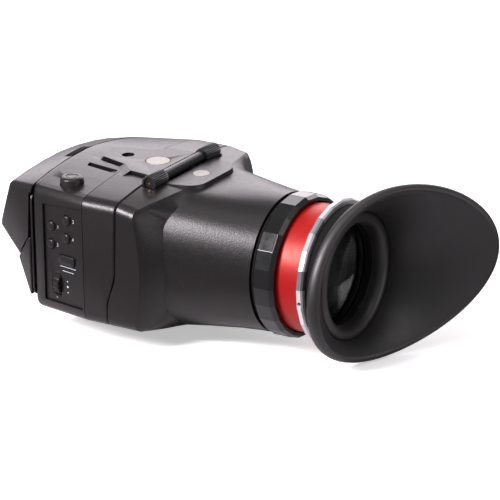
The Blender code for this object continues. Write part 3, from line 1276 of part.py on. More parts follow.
def make_hood():
    """Hood shell with the plateau and trough that carry the hinge, and its magnet."""
    outer = hood_rings(0.0, -LIP_GAP / 2, BARREL_END_Y)
    inner = hood_rings(HOOD_WALL, -LIP_GAP / 2, BARREL_END_Y)
    hood = skin("hood_shell", outer + inner[::-1], "case", looped=True)
    plateau = prism("hood_plateau", plateau_outline(), PLATEAU_BOTTOM, PLATEAU_TOP, cutter=True)
    join(hood, plateau)
    ceiling_depth = -PLATEAU_BACK_Y + OVERRUN * 3
    ceiling = box("hood_ceiling", (PLATEAU_FRONT_HALF_WIDTH * 2, ceiling_depth, HOUSING_CROWN * 2),
                  (0.0, OVERRUN - ceiling_depth / 2, PLATEAU_TOP + HOUSING_CROWN), cutter=True)
    cut(hood, ceiling)
    trough_depth = -PLATEAU_FRONT_Y + OVERRUN
    trough = box("hinge_trough", (TROUGH_HALF_WIDTH * 2, trough_depth, HOUSING_CROWN * 2),
                 (0.0, PLATEAU_FRONT_Y + trough_depth / 2, TROUGH_FLOOR + HOUSING_CROWN), cutter=True)
    cut(hood, trough)
    saddle = rod("barrel_saddle", HINGE_BARREL_RADIUS + CLEARANCE, TROUGH_HALF_WIDTH * 2, "X",
                 (0.0, HINGE_Y, HINGE_Z), cutter=True)
    cut(hood, saddle)
    magnet_top = PLATEAU_TOP + HOOD_MAGNET_PROUD
    magnet_middle = magnet_top - HOOD_MAGNET_THICKNESS / 2
    rod("hood_magnet", HOOD_MAGNET_RADIUS, HOOD_MAGNET_THICKNESS, "Z", (0.0, HOOD_MAGNET_Y, magnet_middle), "steel",
        steps=FACET_COUNT)
    seat = rod("magnet_seat", HOOD_MAGNET_RADIUS + CLEARANCE, HOOD_MAGNET_THICKNESS + CLEARANCE * 2, "Z",
               (0.0, HOOD_MAGNET_Y, magnet_middle), steps=FACET_COUNT, cutter=True)
    cut(hood, seat)
    return hood


def ribbed_circle(radius, depth, count):
    """A circle of shallow ribs as (y, z) points."""
    points = []
    for index in range(count):
        for offset, at in ((0.0, radius), (0.5, radius - depth)):
            angle = 2 * math.pi * (index + offset) / count
            points.append((at * math.cos(angle), at * math.sin(angle)))
    return points


def make_hinge_barrel(name, side):
    """Ribbed barrel on a foot that stands in the hood's trough."""
    start = HINGE_BAR_HALF_LENGTH + CLEARANCE
    length = HINGE_HALF_LENGTH - start
    middle = side * (start + length / 2)
    circle = ribbed_circle(HINGE_BARREL_RADIUS, HINGE_RIB_DEPTH, HINGE_RIB_COUNT)
    ends = [[(middle + end * length / 2, HINGE_Y + y, HINGE_Z + z) for y, z in circle] for end in (-1, 1)]
    barrel = skin(name, ends, "case")
    foot_bottom = TROUGH_FLOOR + CLEARANCE
    foot_top = HINGE_Z - HINGE_BARREL_RADIUS / 4
    foot_depth = HINGE_FOOT_BACK + HINGE_FOOT_FRONT
    foot_y = HINGE_Y + (HINGE_FOOT_FRONT - HINGE_FOOT_BACK) / 2
    foot = box("barrel_foot", (length - CLEARANCE, foot_depth, foot_top - foot_bottom),
               (middle, foot_y, (foot_top + foot_bottom) / 2), cutter=True)
    join(barrel, foot)
    bore = rod("barrel_bore", HINGE_PIN_RADIUS + CLEARANCE, HINGE_HALF_LENGTH * 2 + OVERRUN, "X",
               (0.0, HINGE_Y, HINGE_Z), steps=SMALL_ROUND_STEPS, cutter=True)
    cut(barrel, bore)
    counterbore_length = HINGE_SCREW_DEPTH * 2
    counterbore = rod("barrel_counterbore", HINGE_SCREW_RADIUS + CLEARANCE, counterbore_length, "X",
                      (side * HINGE_HALF_LENGTH, HINGE_Y, HINGE_Z), steps=SMALL_ROUND_STEPS, cutter=True)
    cut(barrel, counterbore)
    return barrel


def make_hinge():
    """Two barrels on the hood and the pin through them and the middle knuckle."""
    make_hinge_barrel("hinge_barrel_left", -1)
    make_hinge_barrel("hinge_barrel_right", 1)
    end = HINGE_HALF_LENGTH - HINGE_SCREW_DEPTH + CLEARANCE
    head_end = end + HINGE_SCREW_DEPTH / 2
    profile = [
        (0.0, head_end), (HINGE_SCREW_RADIUS, head_end), (HINGE_SCREW_RADIUS, end), (HINGE_PIN_RADIUS, end),
        (HINGE_PIN_RADIUS, -end), (HINGE_SCREW_RADIUS, -end), (HINGE_SCREW_RADIUS, -head_end), (0.0, -head_end),
    ]
    turned("hinge_pin", profile, "steel", (0.0, HINGE_Y, HINGE_Z), steps=SMALL_ROUND_STEPS,
           rotation=(0.0, math.pi / 2, 0.0), closed=False)


def make_mask():
    """Thin mask inside the hood's mouth that frames the screen."""
    outline = hood_box_outline(HOOD_WALL + CLEARANCE, MASK_ROOF_DROP)
    top_limit = PLATEAU_BOTTOM - CLEARANCE
    outer = [(x, min(z, top_limit)) for x, z in outline]
    opening = crowned_outline(MASK_HALF_OPENING[0], MASK_HALF_OPENING[1], -MASK_HALF_OPENING[1], 0.0, 0.0,
                              SCREEN_CORNER_RADIUS)
    front = MASK_BACK_Y + MASK_THICKNESS
    rings = [ring_at(outer, MASK_BACK_Y), ring_at(outer, front), ring_at(opening, front),
             ring_at(opening, MASK_BACK_Y)]
    skin("screen_mask", rings, "inner", looped=True)


def make_focus_ring():
    """Faceted focus ring behind the hood's end, on a race that the hood carries."""
    race_start = -BARREL_END_Y + CLEARANCE
    race_end = race_start + RACE_LENGTH
    counterbore_end = race_end + CLEARANCE
    profile = [
        (FOCUS_BORE_RADIUS, FOCUS_END), (FOCUS_RADIUS - FOCUS_REAR_CHAMFER, FOCUS_END),
        (FOCUS_RADIUS, FOCUS_END - FOCUS_REAR_CHAMFER * 2), (FOCUS_RADIUS, FOCUS_START),
        (RACE_RADIUS + CLEARANCE * 2, FOCUS_START), (RACE_RADIUS + CLEARANCE * 2, counterbore_end),
        (FOCUS_BORE_RADIUS, counterbore_end),
    ]
    facing = (EYE_TURN[0], FOCUS_FACET_TURN, 0.0)
    turned("focus_ring", profile, "black_metal", steps=FACET_COUNT, rotation=facing, smooth=False)
    ring_around("ring_race", RACE_BORE_RADIUS, RACE_RADIUS, race_start, race_end, "steel", steps=CUP_STEPS)


def make_lens_group():
    """Red lens tube with its two lenses, spacer and retaining rings."""
    lip_end = FIELD_LENS_START - CLEARANCE
    tube = [
        (LENS_TUBE_BORE_RADIUS, LENS_TUBE_END), (LENS_TUBE_RADIUS, LENS_TUBE_END),
        (LENS_TUBE_RADIUS, LENS_TUBE_START), (LENS_RING_BORE_RADIUS, LENS_TUBE_START),
        (LENS_RING_BORE_RADIUS, lip_end), (LENS_TUBE_BORE_RADIUS, lip_end),
    ]
    turned("lens_tube", tube, "red_metal", steps=CUP_STEPS)
    field_start = FIELD_LENS_START
    field_end = make_lens("field_lens", field_start)
    eye_start = EYE_LENS_END - LENS_EDGE_THICKNESS
    make_lens("eye_lens", eye_start)
    ring_around("lens_spacer", SPACER_BORE_RADIUS, LENS_RADIUS, field_end + CLEARANCE, eye_start - CLEARANCE, "inner")
    ring_around("eye_lens_ring", LENS_RING_BORE_RADIUS, LENS_RADIUS,
                EYE_LENS_END + CLEARANCE, EYE_LENS_END + CLEARANCE + LENS_RING_WIDTH, "inner")


def ring_around(name, bore, radius, start, end, material, steps=ROUND_STEPS):
    """A plain ring round the optical axis."""
    return turned(name, [(bore, end), (radius, end), (radius, start), (bore, start)], material, steps=steps)


def make_lens(name, start):
    """A lens with two bowed faces and a straight edge; gives back where its edge ends."""
    end = start + LENS_EDGE_THICKNESS
    shares = (0.0, 0.30, 0.58, 0.82)
    rise = LENS_CROWN
    profile = [(LENS_RADIUS * 0.86 * s, end + rise * (1 - s * s) - CLEARANCE) for s in shares]
    profile += [(LENS_RADIUS * 0.86, end), (LENS_RADIUS, end), (LENS_RADIUS, start), (LENS_RADIUS * 0.86, start)]
    profile += [(LENS_RADIUS * 0.86 * s, start - rise * (1 - s * s) + CLEARANCE) for s in reversed(shares)]
    turned(name, profile, "glass", closed=False)
    return end


def make_bright_ring():
    """Faceted bright ring at the tube's end with its set screw."""
    profile = [
        (BRIGHT_RING_BORE_RADIUS, BRIGHT_RING_END), (BRIGHT_RING_RADIUS - BRIGHT_RING_CHAMFER, BRIGHT_RING_END),
        (BRIGHT_RING_RADIUS, BRIGHT_RING_END - BRIGHT_RING_CHAMFER),
        (BRIGHT_RING_RADIUS, BRIGHT_RING_START + BRIGHT_RING_CHAMFER),
        (BRIGHT_RING_RADIUS - BRIGHT_RING_CHAMFER, BRIGHT_RING_START),
        (BRIGHT_RING_BORE_RADIUS, BRIGHT_RING_START),
    ]
    ring = turned("bright_ring", profile, "bright_metal", steps=FACET_COUNT, smooth=False)
    middle = (BRIGHT_RING_START + BRIGHT_RING_END) / 2
    apothem = BRIGHT_RING_RADIUS * math.cos(math.pi / FACET_COUNT)
    screw_at = apothem - SET_SCREW_SUNK - SET_SCREW_LENGTH / 2
    direction = Vector((math.cos(SET_SCREW_ANGLE), 0.0, math.sin(SET_SCREW_ANGLE)))
    place = direction * screw_at + Vector((0.0, -middle, 0.0))
    screw = rod("ring_set_screw", SET_SCREW_RADIUS, SET_SCREW_LENGTH, "X", place, "black_metal",
                steps=SMALL_ROUND_STEPS)
    screw.rotation_euler = (0.0, -SET_SCREW_ANGLE, 0.0)
    hole_length = SET_SCREW_LENGTH + CLEARANCE + OVERRUN
    hole_at = direction * (screw_at - SET_SCREW_LENGTH / 2 - CLEARANCE + hole_length / 2)
    hole = rod("set_screw_hole", SET_SCREW_RADIUS + CLEARANCE / 2, hole_length, "X",
               hole_at + Vector((0.0, -middle, 0.0)), steps=SMALL_ROUND_STEPS, cutter=True)
    hole.rotation_euler = (0.0, -SET_SCREW_ANGLE, 0.0)
    cut(ring, hole)


def cup_rim_point(angle):
    """A point on the eyecup's rim, by angle about the optical axis."""
    x = CUP_RIM_CENTRE[0] + CUP_RIM_HALF_WIDTH * math.cos(angle)
    y = -CUP_RIM_CENTRE[1] - CUP_RIM_SWEEP * math.cos(angle) - CUP_RIM_CURL * math.cos(2 * angle)
    z = CUP_RIM_CENTRE[2] + CUP_RIM_HALF_HEIGHT * math.sin(angle) + CUP_RIM_TILT * math.cos(angle)
    return Vector((x, y, z))


def cup_flare_point(angle, share, radius, y, tip):
    """A point on a trumpet curve from a circle to the lip."""
    base = Vector((radius * math.cos(angle), y, radius * math.sin(angle)))
    waist = Vector((base.x, y + (tip.y - y) * CUP_WAIST_SHARE, base.z))
    return base * (1 - share) ** 2 + waist * 2 * share * (1 - share) + tip * share ** 2


def cup_lip_point(angle, turn):
    """A point round the lip's bead: at turn 0 outermost, at 90 degrees nearest the eye."""
    centre = cup_rim_point(angle)
    outward = Vector((math.cos(angle), 0.0, math.sin(angle)))
    depth = CUP_LIP_HALF_DEPTH - CUP_LIP_SWING * math.cos(angle)
    reach = CUP_LIP_HALF_THICKNESS * (math.cos(turn) - 1)
    return centre + outward * reach + Vector((0.0, -depth * math.sin(turn), 0.0))


def make_eyecup():
    """Rubber eyecup: clamped neck, inner roll and flared wall that ends in a thick rolled lip."""
    angles = [2 * math.pi * index / CUP_STEPS for index in range(CUP_STEPS)]
    start = -CUP_NECK_START
    roll = -CUP_ROLL_Y

    def circle(radius, y):
        return [(radius * math.cos(a), y, radius * math.sin(a)) for a in angles]

    outer_neck = CUP_NECK_RADIUS
    core_outer = CUP_CORE_RADIUS + CLEARANCE
    core_inner = CUP_CORE_BORE_RADIUS - CLEARANCE
    core_end = start - CUP_CORE_LENGTH - CLEARANCE
    flare_start = core_end + CUP_WALL
    rings = [circle(core_outer, start), circle(outer_neck, start), circle(outer_neck, flare_start)]
    lip_turns = [math.radians(turn) for turn in CUP_LIP_ANGLES]
    for share in CUP_FLARE_SHARES:
        rings.append([cup_flare_point(a, share, outer_neck, flare_start, cup_lip_point(a, lip_turns[0]))
                      for a in angles])
    for turn in lip_turns:
        rings.append([cup_lip_point(a, turn) for a in angles])
    for share in reversed(CUP_FLARE_SHARES):
        rings.append([cup_flare_point(a, share, CUP_VALLEY_RADIUS, -CUP_VALLEY_Y, cup_lip_point(a, lip_turns[-1]))
                      for a in angles])
    rings.append(circle(CUP_VALLEY_RADIUS, -CUP_VALLEY_Y))
    rings.append(circle(CUP_ROLL_RADIUS, roll))
    rings.append(circle(CUP_NECK_BORE_RADIUS, (roll + core_end) / 2))
    rings.append(circle(CUP_NECK_BORE_RADIUS, start))
    rings.append(circle(core_inner, start))
    rings.append(circle(core_inner, core_end))
    rings.append(circle(core_outer, core_end))
    soften(skin("eyecup", rings, "rubber", looped=True))
    ring_around("eyecup_core", CUP_CORE_BORE_RADIUS, CUP_CORE_RADIUS, CUP_NECK_START,
                CUP_NECK_START + CUP_CORE_LENGTH, "black_metal", steps=CUP_STEPS)


def build():
    """Make every piece in order, from the housing to the eyecup."""
    rear_shell = make_rear_shell()
    front_shell = make_front_shell()
    make_neck_plate()
    front_cover = make_front_cover()
    make_front_base()
    make_battery()
    make_latch(front_cover)
    make_platform(rear_shell, front_shell)
    make_power_button(front_shell)
    make_slit(front_shell)
    panel, _ = make_key_panel(front_shell)
    make_jog(panel)
    make_connector_panel(front_shell)
    make_underside(front_shell)
    stack_end = make_screen_stack()
    make_boards(stack_end)
    make_hood()
    make_hinge()
    make_mask()
    make_focus_ring()
    make_lens_group()
    make_bright_ring()
    make_eyecup()


build()
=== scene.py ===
"""Dressed model of an electronic viewfinder, over the frame that carries its solids and joints.

Lengths are metres in the row frame: +Z up, +Y away from the eye, +X to the operator's right.
New pieces are drawn round the optical axis and carried to their place by one matrix.
"""
import math

import bmesh
import bpy
from mathutils import Matrix, Vector


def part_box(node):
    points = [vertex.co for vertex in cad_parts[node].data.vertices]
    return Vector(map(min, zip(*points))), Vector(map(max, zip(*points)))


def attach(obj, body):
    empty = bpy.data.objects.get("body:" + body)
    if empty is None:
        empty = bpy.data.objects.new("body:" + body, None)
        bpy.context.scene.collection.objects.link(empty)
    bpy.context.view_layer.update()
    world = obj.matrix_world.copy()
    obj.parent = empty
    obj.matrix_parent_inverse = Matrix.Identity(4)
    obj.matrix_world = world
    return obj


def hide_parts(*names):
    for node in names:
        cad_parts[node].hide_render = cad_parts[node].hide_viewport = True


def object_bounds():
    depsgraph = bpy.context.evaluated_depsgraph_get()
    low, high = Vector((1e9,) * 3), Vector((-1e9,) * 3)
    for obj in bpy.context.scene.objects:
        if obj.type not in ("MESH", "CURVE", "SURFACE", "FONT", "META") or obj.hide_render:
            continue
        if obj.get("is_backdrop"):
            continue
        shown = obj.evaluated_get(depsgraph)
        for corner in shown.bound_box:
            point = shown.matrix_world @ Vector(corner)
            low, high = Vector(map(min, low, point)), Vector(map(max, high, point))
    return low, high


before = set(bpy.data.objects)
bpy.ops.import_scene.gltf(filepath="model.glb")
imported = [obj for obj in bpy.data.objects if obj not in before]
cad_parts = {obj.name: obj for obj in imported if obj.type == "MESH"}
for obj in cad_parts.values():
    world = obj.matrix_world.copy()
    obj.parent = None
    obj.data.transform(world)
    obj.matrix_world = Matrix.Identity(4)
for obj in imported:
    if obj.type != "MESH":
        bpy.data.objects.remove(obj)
CAD_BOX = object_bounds()

bl_info = {
    "name": "Electronic Viewfinder",
    "version": (1, 0, 0),
    "blender": (4, 5, 0),
    "location": "View3D > Sidebar > Viewfinder",
    "description": "Builds the dressed pieces and finishes of a loupe viewfinder",
    "category": "Add Mesh",
}

# Where the optical axis crosses the line between hood and housing
AXIS_PLACE = Matrix.Translation((0.0, -0.0170, -0.0346))
MERGE_DISTANCE = 0.000004
FLAT_ANGLE = math.radians(0.4)
# Edges sharper than these angles stay crisp, and are rounded by these widths
CREASE_ANGLE = math.radians(32)
FACET_CREASE_ANGLE = math.radians(8)
BRIGHT_CREASE_ANGLE = math.radians(12)
EDGE_ROUND = 0.00025
SMALL_EDGE_ROUND = 0.00012
EDGE_SEGMENTS = 2
# How straight up a face looks, as its normal's Z, to belong to a key's top
FACING_UP = 0.5
FACING_STRAIGHT_UP = 0.9
RING_STEPS = 128
SMALL_RING_STEPS = 48
SURFACE_LIFT = 0.00003

# Left side, where the keys are: local X runs inwards, Y forward and Z up
HOUSING_HALF_WIDTH = 0.0468
SEAM_Y = 0.0173
SIDE_TAPER_SHARE = 0.165
LEFT_SIDE = (
    AXIS_PLACE
    @ Matrix.Translation((-HOUSING_HALF_WIDTH, SEAM_Y, 0.0))
    @ Matrix.Rotation(-math.atan(SIDE_TAPER_SHARE), 4, "Z")
)
PANEL_RECESS = 0.0010

# How far the roof falls at its far front corner, and where the fall starts and ends
FALL_DEPTH = 0.0021
FALL_START_X = 0.004
FALL_END_X = 0.036
FALL_START_Y = 0.012
FALL_END_Y = 0.0467
FALL_FULL_Z = 0.025
# How the front shell's rim turns over
RIM_DEPTH = 0.0004
RIM_ROUND = 0.0014
RIM_SEGMENTS = 4
RIM_FLAT = 0.9
RIM_STEEP = 0.85
NECK_GROWTH = 0.0014
NECK_GROWTH_FROM = 0.034
# Slit in the front shell's roof by its corners, trench beside the platform and ramp to it
SLIT_CORNERS = ((-0.0136, 0.0356), (-0.0170, 0.0346), (-0.0200, 0.0181), (-0.0163, 0.0188))
SLIT_HALF_DEPTH = 0.0016
TRENCH_CORNERS = ((-0.0068, 0.0328), (-0.0094, 0.0330), (-0.0128, 0.0192), (-0.0106, 0.0188))
TRENCH_FLOOR = 0.0320
RAMP_TOP = 0.03455
RAMP_FOOT = 0.0300
RAMP_OUTLINE = ((-0.0104, 0.0192), (-0.0170, 0.0118), (-0.0232, 0.0142), (-0.0168, 0.0222))
ROOF_CUT_TOP = 0.0380
RAMP_SKIRT = 0.0024

# Hood section, lip, shoulder and barrel
CLEARANCE = 0.0003
SECTION_TOP = 0.0303
SECTION_BOTTOM = 0.0274
SECTION_CROWN = 0.0036
SECTION_CORNER = 0.0050
CORNER_STEPS = 8
CROWN_STEPS = 24
SIDE_STEPS = 14
LIP_LEAN = 0.0012
LIP_STEP = 0.0044
LIP_TOP = -0.0014
LIP_BOTTOM = -0.0184
LIP_GAP = 0.0011
HOOD_WALL = 0.0022
ROOF_DROP = 0.0016
SHOULDER_CORNER_Y = -0.0098
SHOULDER_CORNER_RADIUS = 0.0550
SHOULDER_SLOPE_SHARE = 0.50
ROOT_SLOPE_SHARE = 0.24
ROOT_HALF_WIDTH = 0.0372
ROOT_HALF_HEIGHT = 0.0307
ROOT_CORNER = 0.0240
SHOULDER_ROUND = 0.0022
BARREL_END_Y = -0.0572
BARREL_END_RADIUS = 0.0309
BARREL_SHARES = (0.06, 0.16, 0.30, 0.46, 0.62, 0.80, 0.95)
PLATEAU_TOP = 0.0328
PLATEAU_BOTTOM = 0.0285
PLATEAU_BACK_Y = -0.0222
PLATEAU_FRONT_Y = -0.0070
PLATEAU_BACK_HALF_WIDTH = 0.0172
PLATEAU_FRONT_HALF_WIDTH = 0.0192
PLATEAU_CORNER = 0.0080
PLATEAU_DRAFT = 0.0016
PLATEAU_CORNER_STEPS = 6
TROUGH_FLOOR = 0.0312
TROUGH_HALF_WIDTH = 0.0268
HINGE_Y = -0.0037
HINGE_Z = 0.0340
HINGE_BARREL_RADIUS = 0.0035
CUT_REACH = 0.0020
PIN_SCREW_RADIUS = 0.00036
PIN_SCREW_STANDOUT = 0.00008

# Round pieces on the optical axis, as (radius, distance towards the eye)
FACET_COUNT = 24
FOCUS_START = 0.0590
FOCUS_END = 0.0690
FOCUS_RADIUS = 0.0316
FOCUS_BORE = 0.0289
FOCUS_CHAMFER = 0.0009
FOCUS_FACET_TURN = math.radians(-1.6)
FOCUS_FRONT_CHAMFER = 0.0008
FOCUS_BACK_STEP = 0.0018
RACE_SEAT_RADIUS = 0.0306
RACE_SEAT_END = 0.0603
FACET_EDGE_ROUND = 0.00018
TUBE_RADIUS = 0.0281
TUBE_BORE = 0.0256
TUBE_START = 0.0430
TUBE_END = 0.0822
TUBE_LIP_RADIUS = 0.0226
TUBE_LIP_END = 0.0462
TUBE_LINE_AT = 0.0800
TUBE_LINE_HALF_WIDTH = 0.00016
TUBE_LINE_DEPTH = 0.0003
TUBE_EDGE = 0.0003
BRIGHT_START = 0.0812
BRIGHT_END = 0.0843
BRIGHT_RADIUS = 0.0325
BRIGHT_BORE = 0.0296
BRIGHT_SEAT_RADIUS = 0.0283
BRIGHT_SEAT_END = 0.0823
BRIGHT_FACET_TURN = math.radians(4)
LINER_BORE = 0.0228
LINER_START = 0.0825
LINER_SET_BACK = 0.0002
BRIGHT_CHAMFER = 0.0007
# Painted reflection: how light each of the ring's flats is painted, going round it, in place of what each
# flat mirrors
FLAT_PAINTED_REFLECTION_SHARES = (0.42, 0.75, 0.85, 0.28, 1.0, 1.0, 0.85, 1.0)
SET_SCREW_HOLE_RADIUS = 0.00085
SET_SCREW_HOLE_DEPTH = 0.0022
SET_SCREW_ANGLE = math.radians(187)
SET_SCREW_LENGTH = 0.0010
SET_SCREW_HOLE_STEPS = 32
LENS_RADIUS = 0.0252
LENS_CLEAR_SHARE = 0.86
LENS_EDGE = 0.0024
LENS_RISE = 0.0025
LENS_PROFILE_SHARES = (0.0, 0.12, 0.24, 0.36, 0.48, 0.60, 0.72, 0.84, 0.93)
FIELD_LENS_START = 0.0465
EYE_LENS_START = 0.0771

# Eyecup
CUP_START = 0.0846
CUP_CORE_START = 0.0860
CUP_CORE_RADIUS = 0.0290
CUP_CORE_BORE = 0.0266
CUP_CORE_LENGTH = 0.0033
CUP_NECK_RADIUS = 0.0303
COLLAR_RADIUS = 0.0300
COLLAR_STEP = 0.0857
CUP_NECK_BORE = 0.0226
CUP_ROLL_Y = 0.0925
CUP_VALLEY_RADIUS = 0.0282
CUP_VALLEY_Y = 0.0907
CUP_MOUTH_Y = 0.0880
CUP_RIM_CENTRE = (0.0065, 0.1074, 0.0014)
CUP_RIM_HALF_WIDTH = 0.0437
CUP_RIM_HALF_HEIGHT = 0.03788
CUP_RIM_SWEEP = 0.0206
CUP_RIM_CURL = 0.0048
CUP_RIM_TILT = 0.0046
CUP_WAIST_SHARE = 0.55
CUP_INNER_WAIST_SHARE = 0.30
CUP_SHARES = (0.04, 0.10, 0.18, 0.28, 0.39, 0.50, 0.62, 0.74, 0.84, 0.92, 0.97)
CUP_LIP_HALF_THICKNESS = 0.0021
CUP_LIP_HALF_DEPTH = 0.00233
CUP_LIP_SWING = 0.0008
CUP_LIP_ANGLES = tuple(range(-45, 121, 15))
CUP_ROLL_ANGLES = tuple(range(0, 181, 20))

# Keys on the left side, as (forward, up)
KEY_PLACES = ((0.0193, 0.0130), (0.0100, 0.0175), (0.0197, 0.0046), (0.0104, 0.0091))
KEY_RADIUS = 0.0021
KEY_FACE = -0.0002
KEY_DEPTH = 0.0036
KEY_PROFILE = ((0.0, 0.0), (0.40, 0.02), (0.64, 0.08), (0.78, 0.20), (0.89, 0.45), (0.96, 0.76), (1.0, 1.0))
KEY_DOME = 0.0006
MENU_PLACE = (0.0104, -0.0012)
MENU_HALF_SIZE = (0.0046, 0.00205)
MENU_CORNER = 0.0016
MENU_FACE = 0.0004
MENU_DOME = 0.00035
LABEL_OFFSET = 0.0037
LABEL_SIZE = 0.0022
LABEL_LINES = ((0.0101, -0.0045, 0.0094), (0.0101, -0.0065, 0.0068))
LABEL_LINE_HEIGHT = 0.00028
# Jog marks, as (forward, up, sides, turn): an arrow up, a dot and an arrow down
JOG_MARKS = ((0.0108, -0.0110, 3, 0.0), (0.0107, -0.0135, 16, math.radians(-90)),
             (0.0106, -0.0161, 3, math.radians(-180)))
JOG_MARK_SIZE = 0.0005

# Black nylon body inside each video socket, and how far it sits back from the middle
INSERT_SIZE = (0.0062, 0.0043, 0.0135)
INSERT_SET_BACK = 0.0005

# Power button, as (radius share, depth under the top)
POWER_PROFILE = (
    (0.0, 0.00030), (0.30, 0.00026), (0.42, 0.00018), (0.46, 0.00034), (0.54, 0.00034), (0.58, 0.00012),
    (0.72, 0.00016), (0.86, 0.00038), (0.95, 0.00078), (1.0, 0.00135),
)

# Lamps, as (name, setting of its power, place, aim, size, roll)
LAMPS = (
    ("rear_panel", "rear_power", (1.42, 0.62, 0.62), (0.0, 0.0, 0.0), (2.0, 1.1), 0.0),
    ("overhead_panel", "overhead_power", (-0.15, -0.25, 1.35), (0.0, 0.0, 0.0), (1.2, 1.2), 0.0),
    ("left_strip", "left_power", (-1.075, 0.546, 0.83), (0.0, -0.05, 0.0), (0.80, 0.20), math.radians(55)),
    ("eye_panel", "eye_power", (0.10, -1.40, 0.16), (0.0, 0.0, 0.0), (1.3, 0.5), 0.0),
)
# Painted pool of light on the paper, seen in reflections: bright in an oval round a centre, dim beyond
PAINTED_POOL_CENTRE = (0.0, 0.01, 0.0)
PAINTED_POOL_STRETCH = (1.0, 0.42, 1.0)
PAINTED_POOL_NEAR = 0.070
PAINTED_POOL_FAR = 0.125

# Camera fitted to the photograph
CAMERA_PLACE = (-1.399742, -0.953200, 0.589535)
CAMERA_YAW = math.radians(57.317658)
CAMERA_PITCH = math.radians(20.516660)
CAMERA_ROLL = math.radians(-0.8691228)
CAMERA_LENS = 295.43
CAMERA_SENSOR = 36.0
CAMERA_REACH = (0.1, 20.0)

# Sockets of a colour mix node, which shares its names with other data types
MIX_COLOUR_SOCKETS = (6, 7)
MIX_COLOUR_RESULT = 2


def linear(code):
    """Scene-linear red, green, blue and alpha of an sRGB hex colour."""
    parts = [int(code[at:at + 2], 16) / 255 for at in (1, 3, 5)]
    curve = [part / 12.92 if part <= 0.04045 else ((part + 0.055) / 1.055) ** 2.4 for part in parts]
    return (*curve, 1.0)


def add_node(tree, kind, settings=None, links=None):
    """Add one node: settings name sockets or properties, links name sockets and what feeds them."""
    made = tree.nodes.new(kind)
    for key, value in (settings or {}).items():
        if isinstance(key, int) or key in made.inputs:
            made.inputs[key].default_value = value
        else:
            setattr(made, key, value)
    for key, source in (links or {}).items():
        tree.links.new(source, made.inputs[key])
    return made


def worked_out(tree, operation, first, second=None):
    """What an operation makes of one socket and, where it takes one, a second socket or a value."""
    made = add_node(tree, "ShaderNodeMath", {"operation": operation}, {0: first})
    if isinstance(second, (int, float)):
        made.inputs[1].default_value = second
    elif second is not None:
        tree.links.new(second, made.inputs[1])
    return made.outputs["Value"]


def blended(tree, share, low, high):
    """A colour between two others, each a hex colour or a socket."""
    made = add_node(tree, "ShaderNodeMix", {"data_type": "RGBA"}, {0: share})
    for socket, colour in zip(MIX_COLOUR_SOCKETS, (low, high)):
        if isinstance(colour, str):
            made.inputs[socket].default_value = linear(colour)
        else:
            tree.links.new(colour, made.inputs[socket])
    return made.outputs[MIX_COLOUR_RESULT]


def new_finish(name, colour, roughness, settings=None):
    """A material with its shader, and object coordinates for its patterns."""
    made = bpy.data.materials.new(name)
    made.use_nodes = True
    tree = made.node_tree
    shader = tree.nodes["Principled BSDF"]
    for key, value in {"Base Color": colour, "Roughness": roughness, **(settings or {})}.items():
        shader.inputs[key].default_value = linear(value) if isinstance(value, str) else value
    made.diffuse_color = linear(colour)
    return made, tree, shader, add_node(tree, "ShaderNodeTexCoord").outputs["Object"]


def per_metre(millimetres):
    """Noise scale that gives features of a size in millimetres."""
    return 1000 / millimetres


def bump_grain(tree, shader, coords, millimetres, depth, detail=2.0, strength=1.0, stretch=1.0):
    """Grain by its size and depth in millimetres, or tool lines where it is squeezed along the axis."""
    if stretch != 1.0:
        coords = add_node(tree, "ShaderNodeMapping", {"Scale": (1.0, stretch, 1.0)},
                          {"Vector": coords}).outputs["Vector"]
    grain = add_node(tree, "ShaderNodeTexNoise", {"Scale": per_metre(millimetres), "Detail": detail},
                     {"Vector": coords})
    bump = add_node(tree, "ShaderNodeBump", {"Strength": strength, "Distance": depth / 1000},
                    {"Height": grain.outputs["Fac"]})
    tree.links.new(bump.outputs["Normal"], shader.inputs["Normal"])


def vary(tree, shader, socket, coords, millimetres, low, high, detail=2.0):
    """Let a value or colour wander between two settings over a size in millimetres."""
    drift = add_node(tree, "ShaderNodeTexNoise", {"Scale": per_metre(millimetres), "Detail": detail},
                     {"Vector": coords}).outputs["Fac"]
    if isinstance(low, str):
        result = blended(tree, drift, low, high)
    else:
        result = add_node(tree, "ShaderNodeMapRange",
                          {"From Min": 0.3, "From Max": 0.7, "To Min": low, "To Max": high},
                          {"Value": drift}).outputs["Result"]
    tree.links.new(result, shader.inputs[socket])
    return result


